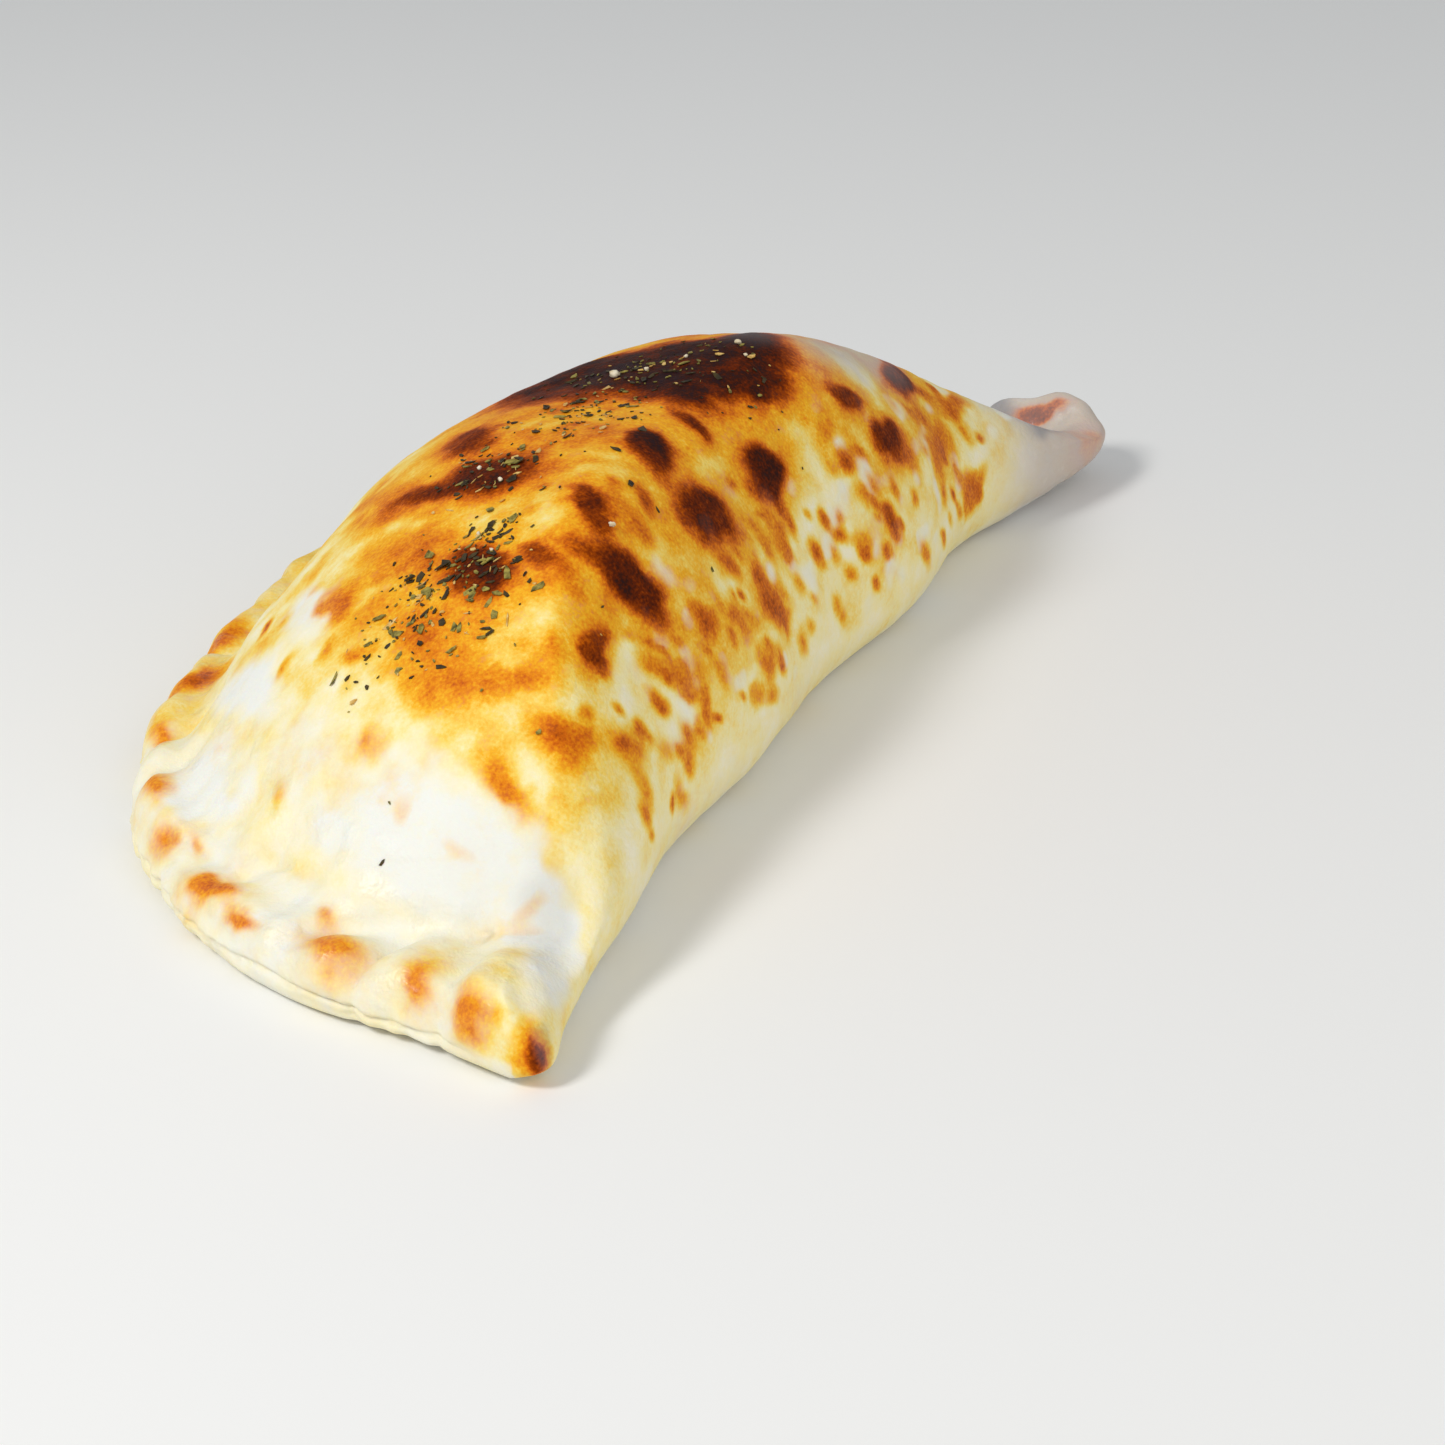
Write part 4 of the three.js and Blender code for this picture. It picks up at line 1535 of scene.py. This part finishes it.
@dataclass
class Crust:
    """The dough's skin, baked and dusted."""

    shape: DoughShape = field(default_factory=DoughShape)
    finish: CrustFinish = field(default_factory=CrustFinish)
    shift: np.ndarray = field(default_factory=lambda: np.zeros(3))
    surface: "BVHTree | None" = None

    def build(self) -> bpy.types.Object:
        """Shape, bake and dust the crust, and let it stand for the plain node.

        Returns:
            The crust.
        """
        skin = SkinGrid(self.shape).build()
        facing = skin.normals()
        low, high = (np.array(corner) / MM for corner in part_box(CRUST_NODE))
        middle = (skin.points.min(axis=0) + skin.points.max(axis=0)) / 2
        self.shift = (low + high) / 2 - middle
        self.shift[2] = low[2]
        ovals = Ovals(skin, facing)
        tone, raised = BakePattern(self.shape).paint(skin, ovals)
        dusting = Dusting(self.shape)
        relief = CrustRelief(self.shape).heights(skin) + raised
        points = skin.points + facing * relief[:, None]
        points[:, 2] = np.maximum(points[:, 2], 0.0)
        placed = (points + self.shift) * MM
        maker = MeshMaker()
        piece = maker.make("crust_skin", placed, skin.faces, self.finish.make())
        maker.keep(piece, "bake", tone)
        maker.keep(piece, "flour", dusting.flour(skin, ovals))
        # Grey at each point: painted shade at the curled corner, and greyer patches.
        maker.keep(piece, "grey_and_shade", dusting.grey_and_shade(skin, ovals))
        # Painted blue-grey shade at each point.
        maker.keep(piece, "painted_shade", dusting.painted_shade(skin, ovals))
        maker.keep(piece, "gloss", dusting.gloss(skin))
        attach(piece, ROOT_BODY)
        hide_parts(CRUST_NODE)
        self.surface = BVHTree.FromPolygons(placed.tolist(), skin.faces.tolist())
        log.info("crust: %d triangles", len(skin.faces))
        return piece

    def lie(self, x: float, y: float) -> "tuple[Vector, Vector] | None":
        """Find where something dropped on the crust comes to lie.

        Args:
            x: The place across the fold, in millimetres of dough.
            y: The place along the fold, in millimetres of dough.

        Returns:
            The point on the crust and its outward direction, or None beside the crust.
        """
        place = (np.array([x, y, 200.0]) + self.shift) * MM
        hit, normal, _, _ = self.surface.ray_cast(Vector(place), Vector((0, 0, -1)))
        if hit is None:
            return None
        return hit, normal if normal.z > 0 else -normal


@dataclass(frozen=True)
class HerbPatch:
    """Where herbs lie, and the share of the draws that fall here or in an earlier patch."""

    x: float
    y: float
    spread_x: float
    spread_y: float
    up_to: float


@dataclass(frozen=True)
class Flake:
    """One flake of herb: where it lies and how large it is, in millimetres."""

    x: float
    y: float
    length: float
    slimness: float
    turn: float


@dataclass(frozen=True)
class Strewing:
    """One handful of flakes, the largest first."""

    seed: int
    total: int
    longest: float
    shortest: float
    patches: tuple
    throw: float = 1.6
    slimmest: float = 0.36
    slimness_spread: float = 0.3

    def flakes(self) -> list[Flake]:
        """Draw the flakes of the handful."""
        stream = NumberStream(self.seed)
        drawn = []
        for i in range(self.total):
            pick = stream.draw()
            patch = next(p for p in self.patches if pick <= p.up_to)
            size = 1.0 - i / self.total
            drawn.append(Flake(
                x=patch.x + self.throw * patch.spread_x * stream.spread(),
                y=patch.y + self.throw * patch.spread_y * stream.spread(),
                length=self.shortest + (self.longest - self.shortest) * size**3,
                slimness=self.slimmest + self.slimness_spread * stream.draw(),
                turn=math.pi * stream.draw(),
            ))
        return drawn


@dataclass
class HerbScatter:
    """Dried oregano strewn on the crown: whole flakes first, then fine ones."""

    crust: Crust
    looks_seed: int = 20422
    corners: int = 5
    thickness: float = 0.16
    stalk_slimness: float = 0.13
    gap: float = 0.14
    tilts: tuple = (-0.3, 0.3)
    curls: tuple = (0.02, 0.3)
    creases: tuple = (-0.3, 0.4)
    first_stalk: int = 9
    straw_above: float = 0.82
    green_above: float = 0.48
    whole: Strewing = Strewing(20417, 300, 4.8, 1.0, (
        HerbPatch(-54, -74, 8, 7, 0.36),
        HerbPatch(-56, -91, 11, 7, 0.66),
        HerbPatch(-63, -45, 8, 7, 0.78),
        HerbPatch(-57, -14, 8, 20, 0.93),
        HerbPatch(-45, -42, 22, 42, 1.0),
    ))
    fine: Strewing = Strewing(6113, 380, 3.8, 0.8, (
        HerbPatch(-60, -16, 9, 8, 0.26),
        HerbPatch(-55, 14, 14, 11, 0.68),
        HerbPatch(-66, -44, 9, 7, 0.80),
        HerbPatch(-54, -80, 14, 10, 1.0),
    ))
    lone: tuple = (
        Flake(-38, -89, 5.0, 0.5, 1.9),
        Flake(-65, -102, 2.4, 0.6, 0.4),
        Flake(-63, -100, 2.0, 0.6, 2.0),
        Flake(-46, -127, 2.0, 0.4, 1.2),
        Flake(-24, -105, 1.8, 0.7, 0.8),
    )

    def flakes(self) -> list[Flake]:
        """List all flakes."""
        return self.whole.flakes() + self.fine.flakes() + list(self.lone)

    def leaf(self, flake: Flake, stream: NumberStream, slim: bool) -> tuple[np.ndarray, list]:
        """Shape one flake: a torn, slightly curled plate, or a thin stalk.

        Args:
            flake: Its size.
            stream: Numbers for its unevenness.
            slim: Whether it is a stalk.

        Returns:
            Its points in millimetres, lying flat, and its faces.
        """
        width = flake.length * (self.stalk_slimness if slim else flake.slimness)
        curl = stream.between(*self.curls)
        crease = stream.between(*self.creases)
        ring = []
        for i in range(self.corners):
            turn = 2 * math.pi * (i + stream.between(-0.25, 0.25)) / self.corners
            reach = 0.5 * stream.between(0.55, 1.0)
            ring.append((flake.length * reach * math.cos(turn), width * reach * math.sin(turn)))
        flat = np.array([(0.0, 0.0), *ring])
        height = curl * flat[:, 0] ** 2 / max(flake.length, 1.0) + crease * np.abs(flat[:, 1])
        upper = np.column_stack([flat, height + self.thickness / 2])
        lower = np.column_stack([flat, height - self.thickness / 2])
        count = len(flat)
        faces = []
        for i in range(self.corners):
            a, b = 1 + i, 1 + (i + 1) % self.corners
            faces += [(0, a, b), (count, count + b, count + a)]
            faces += [(a, count + a, count + b), (a, count + b, b)]
        return np.concatenate([upper, lower]), faces

    def sort_of(self, index: int, draw: float) -> HerbKind:
        """Choose the sort of a flake: mostly scorched or green, now and then straw."""
        if index >= self.first_stalk and draw > self.straw_above:
            return HerbKind.STRAW
        return HerbKind.GREEN if draw > self.green_above else HerbKind.DARK

    def set_down(self, flake: Flake, spot: tuple[Vector, Vector], tilt: float) -> Matrix:
        """Work out how a flake comes to lie on the crust.

        Args:
            flake: The flake.
            spot: The point under it and the outward direction there.
            tilt: How far it leans.

        Returns:
            Its place and turn.
        """
        hit, normal = spot
        lean = Vector((0, 0, 1)).rotation_difference(normal)
        turn = Quaternion((0, 0, 1), flake.turn)
        tipped = lean @ turn @ Quaternion((1, 0, 0), tilt)
        return Matrix.Translation(hit + normal * self.gap * MM) @ tipped.to_matrix().to_4x4()

    def join(self, kind: HerbKind, heap: Heap) -> bpy.types.Object:
        """Make one piece of all flakes of a sort."""
        finish = HERB_FINISHES[kind].make()
        piece = MeshMaker().make(kind.value + "_flakes", heap.points, heap.faces, finish, False)
        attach(piece, ROOT_BODY)
        log.info("%s: %d triangles", piece.name, len(heap.faces))
        return piece

    def build(self) -> list[bpy.types.Object]:
        """Lay all flakes and join each sort into one piece.

        Returns:
            The pieces.
        """
        looks = NumberStream(self.looks_seed)
        heaps = {kind: Heap() for kind in HerbKind}
        for index, flake in enumerate(self.flakes()):
            spot = self.crust.lie(flake.x, flake.y)
            kind = self.sort_of(index, looks.draw())
            stalk = kind is HerbKind.STRAW and index % 2 == 0
            points, faces = self.leaf(flake, looks, stalk)
            if spot is None:
                continue
            place = self.set_down(flake, spot, looks.between(*self.tilts))
            heaps[kind].add([place @ Vector(p * MM) for p in points], faces)
        return [self.join(kind, heap) for kind, heap in heaps.items()]


@dataclass
class CrumbScatter:
    """A few pale crumbs among the herbs: where each lies and how large it is, in millimetres."""

    crust: Crust
    seed: int = 4211
    lump_pitch: float = 0.7
    lumpiness: float = 0.45
    flatness: float = 0.75
    standing: float = 0.8
    crumbs: tuple = (
        (-64, 10, 2.3), (-58, 13, 1.2), (-44, 29, 1.5), (-40, 24, 0.9), (-52, 20, 0.9),
        (-30, -61, 1.5), (-60, -49, 1.2), (-56, -66, 0.9), (-68, -43, 1.0), (-50, -72, 0.8),
    )

    def lump(self, size: float, stream: NumberStream) -> tuple[np.ndarray, list]:
        """Shape one crumb: a lumpy ball.

        Args:
            size: How wide it is.
            stream: Numbers for its unevenness.

        Returns:
            Its points in millimetres, round its middle, and its faces.
        """
        ball = bmesh.new()
        bmesh.ops.create_icosphere(ball, subdivisions=2, radius=1.0)
        lumps = SmoothNoise(self.seed + int(1000 * stream.draw()), self.lump_pitch)
        points = np.array([vertex.co for vertex in ball.verts])
        points = points * (0.5 * size * (1.0 + self.lumpiness * lumps.at(points)))[:, None]
        points = points * np.array([1.0, stream.between(0.6, 1.0), self.flatness])
        faces = [tuple(vertex.index for vertex in face.verts) for face in ball.faces]
        ball.free()
        return points, faces

    def build(self) -> bpy.types.Object:
        """Drop the crumbs on the crust and join them into one piece.

        Returns:
            The piece.
        """
        stream = NumberStream(self.seed)
        heap = Heap()
        for x, y, size in self.crumbs:
            spot = self.crust.lie(x, y)
            points, faces = self.lump(size, stream)
            if spot is None:
                continue
            hit, normal = spot
            centre = hit + normal * self.standing * MM * float(np.abs(points[:, 2]).max())
            heap.add([centre + Vector(p * MM) for p in points], faces)
        piece = MeshMaker().make("crumbs", heap.points, heap.faces, CRUMB_FINISH.make())
        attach(piece, ROOT_BODY)
        log.info("crumbs: %d triangles", len(heap.faces))
        return piece


@dataclass(frozen=True)
class Lamp:
    """A square soft light that faces the calzone: place and size in metres, power in watts."""

    name: str
    place: tuple[float, float, float]
    size: float
    power: float
    colour: tuple[float, float, float]
    faces: tuple[float, float, float] = (0.0, 0.0, 0.03)

    def hang(self) -> None:
        """Hang the lamp in its place."""
        light = bpy.data.lights.new(self.name, "AREA")
        light.size = self.size
        light.energy = self.power
        light.color = self.colour
        lamp = bpy.data.objects.new(self.name, light)
        lamp.location = self.place
        beam = Vector(self.faces) - Vector(self.place)
        lamp.rotation_euler = beam.to_track_quat("-Z", "Y").to_euler()
        bpy.context.collection.objects.link(lamp)


@dataclass(frozen=True)
class Studio:
    """A pale floor, soft light and the camera, which looks at a place given in millimetres of dough."""

    shift: np.ndarray
    azimuth: float = 25.6
    elevation: float = 25.34
    distance: float = 0.70
    lens: float = 82.5
    roll: float = -2.2087
    look_at: tuple[float, float, float] = (-31.79, -11.25, 0.0)
    floor_shade: Shade = Shade(244, 244, 243)
    floor_reach: float = 6.0
    lamps: tuple = (
        Lamp("key", (-0.44, -0.76, 0.96), 0.34, 8.25, (1.0, 0.985, 0.955)),
        Lamp("fill", (1.0, -0.6, 0.7), 1.0, 4.6, (1.0, 0.97, 0.93)),
    )
    room_colour: tuple = (0.94, 0.97, 1.0, 1.0)
    room_strength: float = 0.42

    def build(self) -> None:
        """Set up the floor, the lamps, the surroundings and the camera."""
        self._floor()
        for lamp in self.lamps:
            lamp.hang()
        self._surroundings()
        self._camera()
        log.info("studio: floor, %d lamps and camera", len(self.lamps))

    def _floor(self) -> None:
        """Lay a plain pale floor that ends far away."""
        bench = NodeBench("floor")
        bench.shader.inputs["Base Color"].default_value = self.floor_shade.linear()
        bench.shader.inputs["Roughness"].default_value = 0.8
        reach = self.floor_reach
        points = np.array([(-reach, -reach, 0), (reach, -reach, 0), (reach, reach, 0), (-reach, reach, 0)])
        floor = MeshMaker().make("floor", points, [(0, 1, 2, 3)], bench.material, False)

    def _surroundings(self) -> None:
        """Fill the room with even pale light."""
        world = bpy.data.worlds.new("room")
        world.use_nodes = True
        room = world.node_tree.nodes["Background"]
        room.inputs["Color"].default_value = self.room_colour
        room.inputs["Strength"].default_value = self.room_strength
        bpy.context.scene.world = world
        bpy.context.scene.view_settings.view_transform = "Standard"

    def _camera(self) -> None:
        """Set the camera at its angle and distance, rolled a little about its own axis."""
        azimuth = math.radians(self.azimuth)
        elevation = math.radians(self.elevation)
        roll = math.radians(self.roll)
        ground = math.cos(elevation)
        level = Vector((math.cos(azimuth), math.sin(azimuth), 0.0))
        back = Vector((math.sin(azimuth) * ground, -math.cos(azimuth) * ground, math.sin(elevation)))
        upright = back.cross(level)
        right = level * math.cos(roll) + upright * math.sin(roll)
        up = upright * math.cos(roll) - level * math.sin(roll)
        target = Vector((np.array(self.look_at) + self.shift) * MM)
        data = bpy.data.cameras.new("camera")
        data.lens = self.lens
        data.sensor_width = 36.0
        camera = bpy.data.objects.new("camera", data)
        turned = Matrix((right, up, back)).transposed().to_4x4()
        camera.matrix_world = Matrix.Translation(target + back * self.distance) @ turned
        bpy.context.collection.objects.link(camera)
        bpy.context.scene.camera = camera


def corners(box: tuple[Vector, Vector]) -> list[list[float]]:
    """Write the two corners of a box as plain lists."""
    return [list(corner) for corner in box]


def main() -> None:
    """Build the crust, the herbs, the crumbs and the studio."""
    logging.basicConfig(level=logging.INFO, format="%(message)s")
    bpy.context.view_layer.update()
    crust = Crust()
    crust.build()
    HerbScatter(crust).build()
    CrumbScatter(crust).build()
    Studio(crust.shift).build()


if __name__ == "__main__":
    main()
